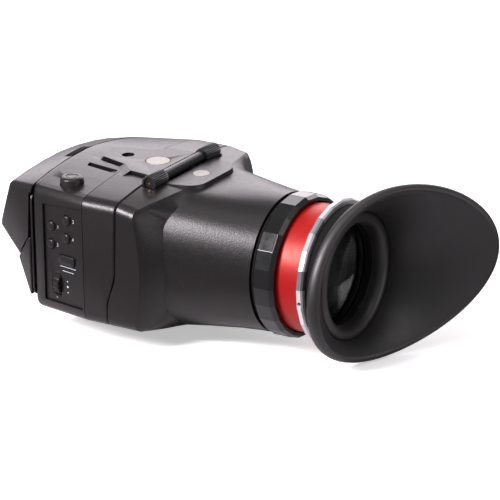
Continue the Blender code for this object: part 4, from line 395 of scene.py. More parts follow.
# Finishes as (material, colour setting, roughness, other shader settings, what wanders as (socket,
# millimetres, from, to, detail), grain as (millimetres, depth, detail, strength, stretch))
PLAIN_FINISHES = {
    # ABS from a spark-eroded mould: a soft broad sheen, broken by grain, never a mirror.
    # Mould grain is about 0.25 mm; drawn at 0.60 mm so that it shows
    "case": ("moulded_abs_case", "case", 0.32, {"Specular IOR Level": 0.5},
             (("Base Color", 9.0, "case", "case_worn"), ("Roughness", 1.6, 0.29, 0.35)),
             (0.60, 0.055, 1.0)),
    # Unpainted black nylon inside the loupe: matte, so stray light dies in it
    "inner": ("matte_black_nylon", "interior", 0.85, {"Specular IOR Level": 0.2},
              (("Roughness", 2.0, 0.78, 0.92),), (0.30, 0.020)),
    # Polycarbonate key caps with a soft-touch coat: smoother than the case, so their rims catch light
    "key": ("coated_key_caps", "key", 0.32, {"Specular IOR Level": 0.42},
            (("Roughness", 1.2, 0.28, 0.38),), (0.40, 0.008)),
    # Black anodised aluminium, turned and faceted: glossy flats with faint tool lines
    "black_metal": ("black_anodised_aluminium", "black_metal", 0.14, {"Specular IOR Level": 0.70},
                    (("Roughness", 3.0, 0.12, 0.16),), (1.8, 0.004, 2.0, 0.35, 14.0)),
    # Red dyed anodised aluminium: satin, with tool lines and a highlight warmer than its dye
    "red_metal": ("red_anodised_aluminium", "red_metal", 0.33,
                  {"Metallic": 0.10, "Specular IOR Level": 0.60, "Specular Tint": "#ffdccc"},
                  (("Roughness", 2.5, 0.37, 0.43),), (2.4, 0.006, 2.0, 0.3, 18.0)),
    # Nickel-plated steel, ground flat: pale and softly mirrored
    "steel": ("nickel_plated_steel", "steel", 0.5, {"Metallic": 0.9},
              (("Roughness", 1.2, 0.44, 0.56),), (0.45, 0.004)),
    # Gold-plated brass of contacts and screws: warm and bright
    "gold": ("gold_plated_brass", "gold", 0.24, {"Metallic": 1.0}, (("Roughness", 0.9, 0.18, 0.32),), None),
    # Oil-blacked steel screws: dark with a greasy sheen
    "oxide": ("black_oxide_steel", "oxide", 0.42, {"Metallic": 0.3}, (("Roughness", 0.8, 0.36, 0.50),), None),
    # Moulded silicone rubber: matte, softly lit at grazing angles, with a dusty fine skin.
    # Rubber skin is about 0.2 mm; drawn at 0.5 mm so that it shows
    "rubber": ("moulded_silicone_rubber", "rubber", 0.47,
               {"Specular IOR Level": 0.85, "Sheen Weight": 0.03, "Sheen Roughness": 0.5},
               (("Base Color", 14.0, "rubber", "rubber_worn"), ("Roughness", 3.0, 0.44, 0.50)),
               (0.50, 0.010, 2.0, 0.5)),
    # Coated optical glass: clear, its dim reflections broken by wipe marks of about 6 mm, hardly there
    "glass": ("coated_optical_glass", "glass", 0.0,
              {"Transmission Weight": 1.0, "IOR": 1.5, "Specular IOR Level": 0.25},
              (("Roughness", 6.0, 0.0, 0.035),), None),
    # Hard-coated window over the screen: black and glossy when the screen is off
    "window": ("hard_coated_window", "screen", 0.06, {"Specular IOR Level": 0.5},
               (("Roughness", 11.0, 0.04, 0.10),), None),
    # Shrink film over the cells: dark blue, smooth and slightly wrinkled
    "film": ("battery_shrink_film", "film", 0.25, {}, (), (5.0, 0.15, 1.0, 0.5)),
    # Pad-printed ink: flat pale blue-white, thin enough to take the case's grain
    "print": ("pad_printed_ink", "print", 0.55, {"Specular IOR Level": 0.3},
              (("Base Color", 0.7, "print", "print_thin", 3.0),), None),
}


def plain_finish(kind, colours):
    """A finish made from its row."""
    name, colour, roughness, settings, drifts, grain = PLAIN_FINISHES[kind]
    made, tree, shader, coords = new_finish(name, getattr(colours, colour), roughness, settings)
    for socket, millimetres, low, high, *detail in drifts:
        if isinstance(low, str):
            low, high = getattr(colours, low), getattr(colours, high)
        vary(tree, shader, socket, coords, millimetres, low, high, *detail)
    if grain:
        bump_grain(tree, shader, coords, *grain)
    return made


def polished_aluminium(colours):
    """Clear anodised aluminium with milled flats: each flat's colour is a painted reflection, from near white
    to grey.
    """
    made, tree, shader, coords = new_finish("milled_aluminium", colours.bright_metal, 0.16, {"Metallic": 0.4})
    place = add_node(tree, "ShaderNodeSeparateXYZ", {}, {"Vector": coords}).outputs
    count = len(FLAT_PAINTED_REFLECTION_SHARES)
    # Which flat a point lies on, counted round the axis, then half a step on to the middle of its painted
    # tone
    around = worked_out(tree, "SUBTRACT", place["Z"], AXIS_PLACE.translation.z)
    for operation, value in (
        ("ARCTAN2", place["X"]), ("ADD", BRIGHT_FACET_TURN), ("DIVIDE", math.tau / FACET_COUNT),
        ("FLOOR", None), ("FLOORED_MODULO", count), ("ADD", 0.5), ("DIVIDE", count),
    ):
        around = worked_out(tree, operation, around, value)
    ramp = add_node(tree, "ShaderNodeValToRGB", {}, {"Fac": around})
    ramp.color_ramp.interpolation = "CONSTANT"
    whole = Vector(linear(colours.bright_metal)[:3])
    stops = ramp.color_ramp.elements
    for at in range(1, count - 1):
        stops.new(at / count)
    for at, tone in enumerate(FLAT_PAINTED_REFLECTION_SHARES):
        stops[at].position = at / count
        stops[at].color = (*whole * tone, 1.0)
    # Painted reflection: each flat's base colour is the metal's colour scaled by its share
    tree.links.new(ramp.outputs["Color"], shader.inputs["Base Color"])
    vary(tree, shader, "Roughness", coords, 6.0, 0.14, 0.18)
    return made


def zinc_steel(colours):
    """Zinc-plated pressed steel of the inner bracket: greyer, with a faint crystal pattern."""
    made, tree, shader, coords = new_finish("zinc_plated_steel", colours.zinc, 0.45, {"Metallic": 0.9})
    cells = add_node(tree, "ShaderNodeTexVoronoi", {"Scale": per_metre(2.5)}, {"Vector": coords})
    ranged = add_node(tree, "ShaderNodeMapRange", {"To Min": 0.36, "To Max": 0.55},
                      {"Value": cells.outputs["Distance"]})
    tree.links.new(ranged.outputs["Result"], shader.inputs["Roughness"])
    return made


def liquid_crystal(colours):
    """Switched-off display behind the window: near black with a faint pixel grid."""
    made, tree, shader, coords = new_finish("display_glass", colours.screen, 0.12)
    grid = add_node(tree, "ShaderNodeTexChecker", {"Scale": per_metre(0.4)}, {"Vector": coords})
    tree.links.new(blended(tree, grid.outputs["Fac"], "#0d0e10", "#131417"), shader.inputs["Base Color"])
    return made


def circuit_laminate(colours):
    """Glass-epoxy board under green solder mask, with its copper tracks just showing."""
    made, tree, shader, coords = new_finish("solder_masked_laminate", colours.board, 0.38)
    tracks = add_node(tree, "ShaderNodeTexBrick", {
        "Scale": per_metre(3.0), "Mortar Size": 0.03, "Mortar Smooth": 0.1, "Color1": linear("#17502f"),
        "Color2": linear("#1a5a35"), "Mortar": linear("#3f8a58"),
    }, {"Vector": coords})
    tree.links.new(tracks.outputs["Color"], shader.inputs["Base Color"])
    return made


PATTERNED_FINISHES = {
    "bright_metal": polished_aluminium, "zinc": zinc_steel, "display": liquid_crystal,
    "board": circuit_laminate,
}
finishes = {}


def finish_named(name):
    """The finish of that name, made when it is first asked for."""
    if name not in finishes:
        colours = bpy.context.scene.viewfinder_colours
        patterned = PATTERNED_FINISHES.get(name)
        finishes[name] = patterned(colours) if patterned else plain_finish(name, colours)
    return finishes[name]


def object_from(name, form, place):
    """An object in the scene that holds a bmesh's form, carried to its place."""
    bmesh.ops.transform(form, matrix=place, verts=form.verts)
    mesh = bpy.data.meshes.new(name)
    form.to_mesh(mesh)
    form.free()
    made = bpy.data.objects.new(name, mesh)
    bpy.context.scene.collection.objects.link(made)
    return made


def new_piece(name, form, finish, body, replaced=(), place=AXIS_PLACE, smooth=True):
    """Turn a bmesh into a piece that rides on a body, with its place in its mesh."""
    made = object_from(name, form, place)
    made.data.materials.append(finish_named(finish))
    if smooth:
        made.data.shade_smooth()
        made.data.set_sharp_from_angle(angle=CREASE_ANGLE)
    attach(made, body)
    if replaced:
        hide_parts(*replaced)
    return made


def round_edges(made, width=EDGE_ROUND, angle=CREASE_ANGLE):
    """Round a piece's crisp edges so that they catch the light."""
    bevel = made.modifiers.new("edge_round", "BEVEL")
    bevel.width = width
    bevel.segments = EDGE_SEGMENTS
    bevel.limit_method = "ANGLE"
    bevel.angle_limit = angle
    bevel.harden_normals = True
    bevel.use_clamp_overlap = True


def dressed_copy(node, finish, body, width=EDGE_ROUND, shaping=None):
    """A merged copy of a solid's mesh in that solid's place, shaped if asked, with its edges rounded."""
    form = bmesh.new()
    form.from_mesh(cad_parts[node].data)
    bmesh.ops.remove_doubles(form, verts=form.verts, dist=MERGE_DISTANCE)
    bmesh.ops.dissolve_limit(form, angle_limit=FLAT_ANGLE, verts=form.verts, edges=form.edges)
    if shaping:
        shaping(form)
    made = new_piece(f"{node}_dressed", form, finish, body, (node,), place=Matrix.Identity(4))
    if width:
        round_edges(made, width)
    return made


def settle_far_corner(form):
    """Let the roof fall towards the corner farthest forward and right, as the moulding does."""
    for vert in form.verts:
        place = vert.co - AXIS_PLACE.translation
        across = min(1.0, max(0.0, (place.x - FALL_START_X) / (FALL_END_X - FALL_START_X)))
        forward = min(1.0, max(0.0, (place.y - FALL_START_Y) / (FALL_END_Y - FALL_START_Y)))
        high = min(1.0, max(0.0, place.z / FALL_FULL_Z))
        vert.co.z -= FALL_DEPTH * across * forward * forward * high


def widen_neck(form):
    """Bring the neck nearly out to its neighbours, so that the groove round it stays shallow."""
    for vert in form.verts:
        vert.co.x += math.copysign(NECK_GROWTH, vert.co.x) if abs(vert.co.x) > NECK_GROWTH_FROM else 0.0
        if vert.co.z < AXIS_PLACE.translation.z:
            vert.co.z -= NECK_GROWTH
    settle_far_corner(form)


def soften_front(form):
    """Round the front rim's outer edge, so that it turns over softly to the neck, and let the roof settle."""
    rim = max(vert.co.y for vert in form.verts)
    bmesh.ops.recalc_face_normals(form, faces=form.faces)
    chosen = []
    for edge in form.edges:
        faces = edge.link_faces
        if len(faces) != 2 or min(vert.co.y for vert in edge.verts) < rim - RIM_DEPTH:
            continue
        facing = sorted(face.normal.y for face in faces)
        if facing[1] > RIM_FLAT and facing[0] < RIM_STEEP and edge.is_convex:
            chosen.append(edge)
    bmesh.ops.bevel(form, geom=chosen, offset=RIM_ROUND, offset_type="OFFSET", segments=RIM_SEGMENTS,
                    profile=0.5, affect="EDGES", clamp_overlap=True, material=-1)
    settle_far_corner(form)


def paint_node(node, finish):
    """Give a solid that stays in view its real finish."""
    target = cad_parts[node]
    for at in range(len(target.material_slots)):
        target.material_slots[at].material = finish_named(finish)


def turned(form, angle, axis="Y"):
    """The same form, turned about an axis through its own origin."""
    bmesh.ops.rotate(form, verts=form.verts, cent=(0.0, 0.0, 0.0), matrix=Matrix.Rotation(angle, 3, axis))
    return form


def box_parts(node):
    """Centre, size and the middle of the top of a solid's box."""
    low, high = map(Vector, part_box(node))
    centre = (low + high) / 2
    return centre, high - low, Vector((centre.x, centre.y, high.z))


def spun(profile, steps=RING_STEPS, axis="Y", closed=True):
    """A profile of (radius, distance) points spun about an axis."""
    form = bmesh.new()
    directions = {"Y": Vector((0.0, -1.0, 0.0)), "Z": Vector((0.0, 0.0, 1.0)), "X": Vector((-1.0, 0.0, 0.0))}
    along = directions[axis]
    outwards = Vector((0.0, 0.0, 1.0)) if axis == "X" else Vector((1.0, 0.0, 0.0))
    points = [form.verts.new(outwards * radius + along * distance) for radius, distance in profile]
    pairs = list(zip(points, points[1:]))
    if closed:
        pairs.append((points[-1], points[0]))
    edges = [form.edges.new(pair) for pair in pairs]
    bmesh.ops.spin(form, geom=points + edges, cent=(0.0, 0.0, 0.0), axis=along, angle=math.tau, steps=steps,
                   use_merge=True, use_duplicate=False)
    bmesh.ops.remove_doubles(form, verts=form.verts, dist=MERGE_DISTANCE)
    bmesh.ops.recalc_face_normals(form, faces=form.faces)
    return form


def lofted(loops, closed=True):
    """A ring of points, extruded ring by ring through the others and back to itself if closed."""
    form = bmesh.new()
    row = [form.verts.new(point) for point in loops[0]]
    edges = [form.edges.new(pair) for pair in zip(row, row[1:] + row[:1])]
    for loop in loops[1:] + (loops[:1] if closed else []):
        grown = bmesh.ops.extrude_edge_only(form, edges=edges)["geom"]
        fresh = {item for item in grown if isinstance(item, bmesh.types.BMVert)}
        order = {vert: at for at, vert in enumerate(row)}
        found = {}
        for vert in fresh:
            source = next(edge.other_vert(vert) for edge in vert.link_edges if edge.other_vert(vert) in order)
            found[order[source]] = vert
        row = [found[at] for at in range(len(loop))]
        for vert, point in zip(row, loop):
            vert.co = point
        edges = [item for item in grown
                 if isinstance(item, bmesh.types.BMEdge) and fresh.issuperset(item.verts)]
    bmesh.ops.remove_doubles(form, verts=form.verts, dist=MERGE_DISTANCE)
    bmesh.ops.recalc_face_normals(form, faces=form.faces)
    return form


def raised(outline, low, high):
    """A flat outline drawn up from one height to another."""
    form = bmesh.new()
    face = form.faces.new([form.verts.new((x, y, low)) for x, y in outline])
    grown = bmesh.ops.extrude_face_region(form, geom=[face])
    lifted = [item for item in grown["geom"] if isinstance(item, bmesh.types.BMVert)]
    bmesh.ops.translate(form, verts=lifted, vec=(0.0, 0.0, high - low))
    bmesh.ops.recalc_face_normals(form, faces=form.faces)
    return form


def arc(centre, radius, start, end, steps):
    """Points on an arc, angles in degrees."""
    angles = [math.radians(start + (end - start) * index / steps) for index in range(steps + 1)]
    return [(centre[0] + radius * math.cos(a), centre[1] + radius * math.sin(a)) for a in angles]


def section(inset, drop):
    """Section of the hood's box part in (x, z): rounded corners, bowed top and bottom."""
    half_width = HOUSING_HALF_WIDTH - inset
    top = SECTION_TOP - inset - drop
    bottom = inset - SECTION_BOTTOM
    radius = SECTION_CORNER - inset
    reach = half_width - radius
    shares = [1 - 2 * index / CROWN_STEPS for index in range(1, CROWN_STEPS)]
    roof = [(reach * share, top + SECTION_CROWN * (1 - share * share)) for share in shares]
    floor = [(-reach * share, bottom - SECTION_CROWN * (1 - share * share)) for share in shares]
    rise = top - bottom - radius * 2
    heights = [bottom + radius + rise * index / SIDE_STEPS for index in range(1, SIDE_STEPS)]
    points = arc((reach, top - radius), radius, 0, 90, CORNER_STEPS) + roof
    points += arc((-reach, top - radius), radius, 90, 180, CORNER_STEPS)
    points += [(-half_width, height) for height in reversed(heights)]
    points += arc((-reach, bottom + radius), radius, 180, 270, CORNER_STEPS) + floor
    points += arc((reach, bottom + radius), radius, 270, 360, CORNER_STEPS)
    return points + [(half_width, height) for height in heights]


def lip_y(z):
    """Where the line between hood and housing lies at a height."""
    lean = min(1.0, max(0.0, (SECTION_TOP - z) / (SECTION_TOP - LIP_TOP)))
    share = min(1.0, max(0.0, (LIP_TOP - z) / (LIP_TOP - LIP_BOTTOM)))
    return LIP_LEAN * lean + LIP_STEP * share * share * (3 - 2 * share)


def root_reach(angle, inset):
    """Distance from the axis to the barrel's rounded root in one direction."""
    half_width = ROOT_HALF_WIDTH - inset
    half_height = ROOT_HALF_HEIGHT - inset
    corner = ROOT_CORNER - inset
    x, z = abs(math.cos(angle)), abs(math.sin(angle))
    side = half_width / x if x > 0 else math.inf
    if side * z <= half_height - corner:
        return side
    top = half_height / z if z > 0 else math.inf
    if top * x <= half_width - corner:
        return top
    centre_x, centre_z = half_width - corner, half_height - corner
    along = centre_x * x + centre_z * z
    off = centre_x * centre_x + centre_z * centre_z - corner * corner
    return along + math.sqrt(along * along - off)


def hood_loops(inset):
    """Rings of the hood's skin from its lip to its barrel's end, drawn in by an inset."""
    lip = [(x, lip_y(z) - LIP_GAP / 2, z) for x, z in section(inset, 0.0)]
    crease, shoulder, root = [], [], []
    for x, z in section(inset, ROOF_DROP):
        angle = math.atan2(z, x)
        far = math.hypot(x, z)
        crease_y = SHOULDER_CORNER_Y - SHOULDER_SLOPE_SHARE * (SHOULDER_CORNER_RADIUS - far)
        crease_y += inset * SHOULDER_SLOPE_SHARE
        reach = min(root_reach(angle, inset), far - SHOULDER_ROUND / 2)
        root_y = crease_y - ROOT_SLOPE_SHARE * (far - reach) - SHOULDER_ROUND
        near = max(reach + SHOULDER_ROUND / 4, far - SHOULDER_ROUND)
        crease.append((x, crease_y + SHOULDER_ROUND, z))
        shoulder.append((near * math.cos(angle), crease_y, near * math.sin(angle)))
        root.append((reach * math.cos(angle), root_y, reach * math.sin(angle)))
    loops = [lip, crease, shoulder, root]
    for share in (*BARREL_SHARES, 1.0):
        ring = []
        for x, y, z in root:
            angle = math.atan2(z, x)
            radius = math.hypot(x, z) * (1 - share) + (BARREL_END_RADIUS - inset) * share
            ring.append((radius * math.cos(angle), y * (1 - share) + BARREL_END_Y * share,
                         radius * math.sin(angle)))
        loops.append(ring)
    return loops


def carve(made, others):
    """Join or cut helper shapes into a piece, keep the result in its mesh and drop the helpers."""
    for operation, form in others:
        helper = object_from("helper", form, AXIS_PLACE)
        step = made.modifiers.new("carve", "BOOLEAN")
        step.operation = operation
        step.solver = "EXACT"
        step.object = helper
        bpy.context.view_layer.update()
        shaped = made.evaluated_get(bpy.context.evaluated_depsgraph_get())
        result = bpy.data.meshes.new_from_object(shaped)
        made.modifiers.remove(step)
        made.data = result
        bpy.data.objects.remove(helper, do_unlink=True)
        if not len(result.polygons):
            raise RuntimeError(f"{made.name}: nothing left after {operation}")
    made.data.shade_smooth()
    made.data.set_sharp_from_angle(angle=CREASE_ANGLE)


def rod(radius, length, axis, place, steps=SMALL_RING_STEPS):
    """A cylinder centred on its place."""
    turns = {"X": Matrix.Rotation(math.pi / 2, 4, "Y"), "Y": Matrix.Rotation(math.pi / 2, 4, "X")}
    form = bmesh.new()
    bmesh.ops.create_cone(form, cap_ends=True, segments=steps, radius1=radius, radius2=radius, depth=length,
                          matrix=Matrix.Translation(place) @ turns.get(axis, Matrix.Identity(4)))
    return form


def block(size, place):
    """A box of a full size, centred on its place."""
    form = bmesh.new()
    bmesh.ops.create_cube(form, size=1.0, matrix=Matrix.Translation(place) @ Matrix.Diagonal((*size, 1.0)))
    return form


def plateau_outline():
    """The plateau behind the hinge, with rounded back corners."""
    back, front = PLATEAU_BACK_Y, PLATEAU_FRONT_Y - CLEARANCE
    corner = (PLATEAU_BACK_HALF_WIDTH - PLATEAU_CORNER, back + PLATEAU_CORNER)
    curve = arc(corner, PLATEAU_CORNER, -90, -10, PLATEAU_CORNER_STEPS)
    half = curve + [(PLATEAU_FRONT_HALF_WIDTH, front)]
    wide = TROUGH_HALF_WIDTH - CLEARANCE
    half += [(wide, front), (wide, -LIP_GAP / 2)]
    return half + [(-x, y) for x, y in reversed(half)]


def make_plateau():
    """The plateau's block, its foot wider than its top by the draft."""
    form = raised(plateau_outline(), PLATEAU_BOTTOM, PLATEAU_TOP)
    middle = Vector((0.0, (PLATEAU_BACK_Y + PLATEAU_FRONT_Y) / 2, 0.0))
    for vert in form.verts:
        if vert.co.z < PLATEAU_TOP - MERGE_DISTANCE and vert.co.y < PLATEAU_FRONT_Y - CLEARANCE * 2:
            away = Vector((vert.co.x, vert.co.y - middle.y, 0.0)).normalized()
            vert.co += away * PLATEAU_DRAFT
    return form


def make_hood():
    """The hood shell, with its plateau, hinge trough and magnet seat."""
    form = lofted(hood_loops(0.0) + hood_loops(HOOD_WALL)[::-1])
    hood = new_piece("hood_moulding", form, "case", "hood", ("hood_shell",))
    ceiling_depth = -PLATEAU_BACK_Y + CUT_REACH * 3
    trough_depth = -PLATEAU_FRONT_Y + CUT_REACH
    magnet_place, magnet_size, _ = box_parts("hood_magnet")
    seat = rod(magnet_size.x / 2 + CLEARANCE / 2, magnet_size.z + CLEARANCE, "Z",
               magnet_place - AXIS_PLACE.translation)
    carve(hood, [
        ("UNION", make_plateau()),
        ("DIFFERENCE", block((PLATEAU_FRONT_HALF_WIDTH * 2, ceiling_depth, SECTION_CROWN * 2),
                             (0.0, CUT_REACH - ceiling_depth / 2, PLATEAU_TOP + SECTION_CROWN))),
        ("DIFFERENCE", block((TROUGH_HALF_WIDTH * 2, trough_depth, SECTION_CROWN * 2),
                             (0.0, PLATEAU_FRONT_Y + trough_depth / 2, TROUGH_FLOOR + SECTION_CROWN))),
        ("DIFFERENCE", rod(HINGE_BARREL_RADIUS + CLEARANCE, TROUGH_HALF_WIDTH * 2, "X",
                           (0.0, HINGE_Y, HINGE_Z))),
        ("DIFFERENCE", seat),
    ])
    round_edges(hood)


def make_disc(node, name, body):
    """A ground steel disc with a softened edge, let into its seat."""
    _, size, top = box_parts(node)
    radius, thickness = size.x / 2, size.z
    edge = min(EDGE_ROUND, thickness / 3)
    profile = [(0.0, 0.0), (radius - edge / 2, 0.0), (radius, -edge / 2), (radius, -thickness),
               (0.0, -thickness)]
    form = spun(profile, SMALL_RING_STEPS, "Z", closed=False)
    new_piece(name, form, "steel", body, (node,), Matrix.Translation(top))


def make_pin_screw():
    """The small brass screw seen in the hollow of the hinge pin's near end."""
    centre, size, _ = box_parts("hinge_pin")
    place = centre - Vector((size.x / 2, 0.0, 0.0)) - AXIS_PLACE.translation
    form = rod(PIN_SCREW_RADIUS, PIN_SCREW_STANDOUT * 2, "X", place)
    new_piece("pin_screw", form, "gold", "hood")


def make_ramp():
    """A gentle ramp from the roof to the platform's step, so that no wall shows there."""
    near_a, near_b, far_b, far_a = RAMP_OUTLINE
    form = bmesh.new()
    top = [form.verts.new((*near_a, RAMP_TOP)), form.verts.new((*near_b, RAMP_TOP))]
    foot = [form.verts.new((*point, RAMP_FOOT)) for point in RAMP_OUTLINE]
    drop = RAMP_TOP - RAMP_SKIRT
    skirt = [form.verts.new((*far_b, drop)), form.verts.new((*far_a, drop))]
    for corners in (
        (top[0], top[1], skirt[0], skirt[1]), (top[1], top[0], foot[0], foot[1]),
        (skirt[1], skirt[0], foot[2], foot[3]), (top[0], skirt[1], foot[3], foot[0]),
        (top[1], foot[1], foot[2], skirt[0]), (foot[0], foot[3], foot[2], foot[1]),
    ):
        form.faces.new(corners)
    bmesh.ops.recalc_face_normals(form, faces=form.faces)
    new_piece("platform_ramp", form, "case", "housing")


def make_focus_ring():
    """The focus ring: wide flats, a long chamfer at the back and a short one in front."""
    apothem = FOCUS_RADIUS * math.cos(math.pi / FACET_COUNT)
    profile = [
        (FOCUS_BORE, FOCUS_END), (apothem - FOCUS_CHAMFER, FOCUS_END),
        (FOCUS_RADIUS, FOCUS_END - FOCUS_BACK_STEP), (FOCUS_RADIUS, FOCUS_START + FOCUS_FRONT_CHAMFER),
        (FOCUS_RADIUS - FOCUS_FRONT_CHAMFER, FOCUS_START),
        (RACE_SEAT_RADIUS, FOCUS_START), (RACE_SEAT_RADIUS, RACE_SEAT_END), (FOCUS_BORE, RACE_SEAT_END),
    ]
    form = turned(spun(profile, FACET_COUNT), FOCUS_FACET_TURN)
    ring = new_piece("focus_ring_flats", form, "black_metal", "focus", ("focus_ring",),
                     smooth=False)
    round_edges(ring, FACET_EDGE_ROUND, FACET_CREASE_ANGLE)


def make_lens_tube():
    """The red tube, with a fine turned line near its end."""
    line_low, line_high = TUBE_LINE_AT - TUBE_LINE_HALF_WIDTH, TUBE_LINE_AT + TUBE_LINE_HALF_WIDTH
    line_radius = TUBE_RADIUS - TUBE_LINE_DEPTH
    profile = [
        (TUBE_BORE, TUBE_END), (TUBE_RADIUS - TUBE_EDGE, TUBE_END), (TUBE_RADIUS, TUBE_END - TUBE_EDGE),
        (TUBE_RADIUS, line_high), (line_radius, line_high), (line_radius, line_low), (TUBE_RADIUS, line_low),
        (TUBE_RADIUS, TUBE_START), (TUBE_LIP_RADIUS, TUBE_START), (TUBE_LIP_RADIUS, TUBE_LIP_END),
        (TUBE_BORE, TUBE_LIP_END),
    ]
    new_piece("anodised_tube", spun(profile), "red_metal", "lens", ("lens_tube",))


def make_lens(node, name, start):
    """A lens with two bowed faces and a ground edge."""
    end = start + LENS_EDGE
    clear = LENS_RADIUS * LENS_CLEAR_SHARE
    bow = [(clear * share, LENS_RISE * (1 - share * share)) for share in LENS_PROFILE_SHARES]
    profile = [(radius, end + rise) for radius, rise in bow]
    profile += [(clear, end), (LENS_RADIUS, end), (LENS_RADIUS, start), (clear, start)]
    profile += [(radius, start - rise) for radius, rise in reversed(bow)]
    new_piece(name, spun(profile, closed=False), "glass", "lens", (node,))


def make_bright_ring():
    """The bright ring's milled flats and chamfers."""
    profile = [
        (BRIGHT_BORE, BRIGHT_END), (BRIGHT_RADIUS - BRIGHT_CHAMFER, BRIGHT_END),
        (BRIGHT_RADIUS, BRIGHT_END - BRIGHT_CHAMFER), (BRIGHT_RADIUS, BRIGHT_START + BRIGHT_CHAMFER),
        (BRIGHT_RADIUS - BRIGHT_CHAMFER, BRIGHT_START), (BRIGHT_SEAT_RADIUS, BRIGHT_START),
        (BRIGHT_SEAT_RADIUS, BRIGHT_SEAT_END), (BRIGHT_BORE, BRIGHT_SEAT_END),
    ]
    form = turned(spun(profile, FACET_COUNT), BRIGHT_FACET_TURN)
    ring = new_piece("bright_ring_flats", form, "bright_metal", "lens", ("bright_ring",),
                     smooth=False)
    liner_end = BRIGHT_END - LINER_SET_BACK
    liner = [(LINER_BORE, liner_end), (BRIGHT_BORE, liner_end), (BRIGHT_BORE, LINER_START),
             (LINER_BORE, LINER_START)]
    new_piece("ring_liner", spun(liner), "inner", "lens")
    floor = BRIGHT_RADIUS - SET_SCREW_HOLE_DEPTH
    middle = -(BRIGHT_START + BRIGHT_END) / 2

    def across(radius, length):
        rod_place = (floor + length / 2, middle, 0.0)
        return turned(rod(radius, length, "X", rod_place, SET_SCREW_HOLE_STEPS), -SET_SCREW_ANGLE)

    carve(ring, [("DIFFERENCE", across(SET_SCREW_HOLE_RADIUS, SET_SCREW_HOLE_DEPTH + CUT_REACH))])
    screw = across(SET_SCREW_HOLE_RADIUS - EDGE_ROUND / 5, SET_SCREW_LENGTH)
    new_piece("grub_screw", screw, "oxide", "lens", ("ring_set_screw",))
    ring.data.shade_flat()
    round_edges(ring, SMALL_EDGE_ROUND, BRIGHT_CREASE_ANGLE)


def rim_point(angle):
    """A point on the eyecup's rim, by angle about the optical axis."""
    x = CUP_RIM_CENTRE[0] + CUP_RIM_HALF_WIDTH * math.cos(angle)
    y = -CUP_RIM_CENTRE[1] - CUP_RIM_SWEEP * math.cos(angle) - CUP_RIM_CURL * math.cos(2 * angle)
    z = CUP_RIM_CENTRE[2] + CUP_RIM_HALF_HEIGHT * math.sin(angle) + CUP_RIM_TILT * math.cos(angle)
    return Vector((x, y, z))


def flare_point(angle, share, radius, y, tip, waist_share=CUP_WAIST_SHARE):
    """A point on a trumpet curve from a circle to the lip."""
    base = Vector((radius * math.cos(angle), y, radius * math.sin(angle)))
    waist = Vector((base.x, y + (tip.y - y) * waist_share, base.z))
    return base * (1 - share) ** 2 + waist * 2 * share * (1 - share) + tip * share ** 2


def lip_point(angle, turn):
    """A point round the lip's bead: at turn 0 outermost, at 90 degrees nearest the eye."""
    outward = Vector((math.cos(angle), 0.0, math.sin(angle)))
    depth = CUP_LIP_HALF_DEPTH - CUP_LIP_SWING * math.cos(angle)
    reach = CUP_LIP_HALF_THICKNESS * (math.cos(turn) - 1)
    return rim_point(angle) + outward * reach + Vector((0.0, -depth * math.sin(turn), 0.0))


def make_collar():
    """The matte collar that the cup is stretched over, seen as the dark gap behind it; its matte black is
    partly painted shade, standing in for the shade deep in that gap.
    """
    end = CUP_CORE_START + CUP_CORE_LENGTH
    inner = CUP_CORE_RADIUS + CLEARANCE
    profile = [(CUP_NECK_BORE, CUP_START), (COLLAR_RADIUS, CUP_START), (COLLAR_RADIUS, end), (inner, end),
               (inner, COLLAR_STEP), (CUP_NECK_BORE, COLLAR_STEP)]
    new_piece("cup_collar", spun(profile), "inner", "cup")


def make_eyecup():
    """The rubber cup: clamped neck, a roll round the lens and a flared wall with a rolled lip."""
    angles = [math.tau * index / RING_STEPS for index in range(RING_STEPS)]
    core_start = -CUP_CORE_START
    core_end = core_start - CUP_CORE_LENGTH - CLEARANCE
    flare_start = core_end - EDGE_ROUND
    turns = [math.radians(turn) for turn in CUP_LIP_ANGLES]

    def circle(radius, y):
        return [(radius * math.cos(a), y, radius * math.sin(a)) for a in angles]

    loops = [circle(CUP_NECK_RADIUS, flare_start)]
    for share in CUP_SHARES:
        loops.append([flare_point(a, share, CUP_NECK_RADIUS, flare_start, lip_point(a, turns[0]))
                      for a in angles])
    for turn in turns:
        loops.append([lip_point(a, turn) for a in angles])
    for share in reversed(CUP_SHARES):
        loops.append([flare_point(a, share, CUP_VALLEY_RADIUS, -CUP_VALLEY_Y, lip_point(a, turns[-1]),
                                  CUP_INNER_WAIST_SHARE) for a in angles])
    roll_half = (CUP_VALLEY_RADIUS - CUP_NECK_BORE) / 2
    roll_middle = CUP_NECK_BORE + roll_half
    for turn in CUP_ROLL_ANGLES:
        bend = math.radians(turn)
        rise = CUP_ROLL_Y - (CUP_VALLEY_Y if turn < 90 else CUP_MOUTH_Y)
        loops.append(circle(roll_middle + roll_half * math.cos(bend),
                            -CUP_ROLL_Y + rise * (1 - math.sin(bend))))
    loops += [
        circle(CUP_NECK_BORE, core_start), circle(CUP_CORE_BORE - CLEARANCE, core_start),
        circle(CUP_CORE_BORE - CLEARANCE, core_end), circle(CUP_NECK_RADIUS - CLEARANCE, core_end),
    ]
    new_piece("eyecup_moulding", lofted(loops), "rubber", "cup", ("eyecup",))


def side_place(depth, forward, up):
    """Matrix to a place on the left side whose Z points outwards and Y up."""
    facing = Matrix(((0.0, 0.0, -1.0), (-1.0, 0.0, 0.0), (0.0, 1.0, 0.0))).to_4x4()
    return LEFT_SIDE @ Matrix.Translation((depth, forward, up)) @ facing


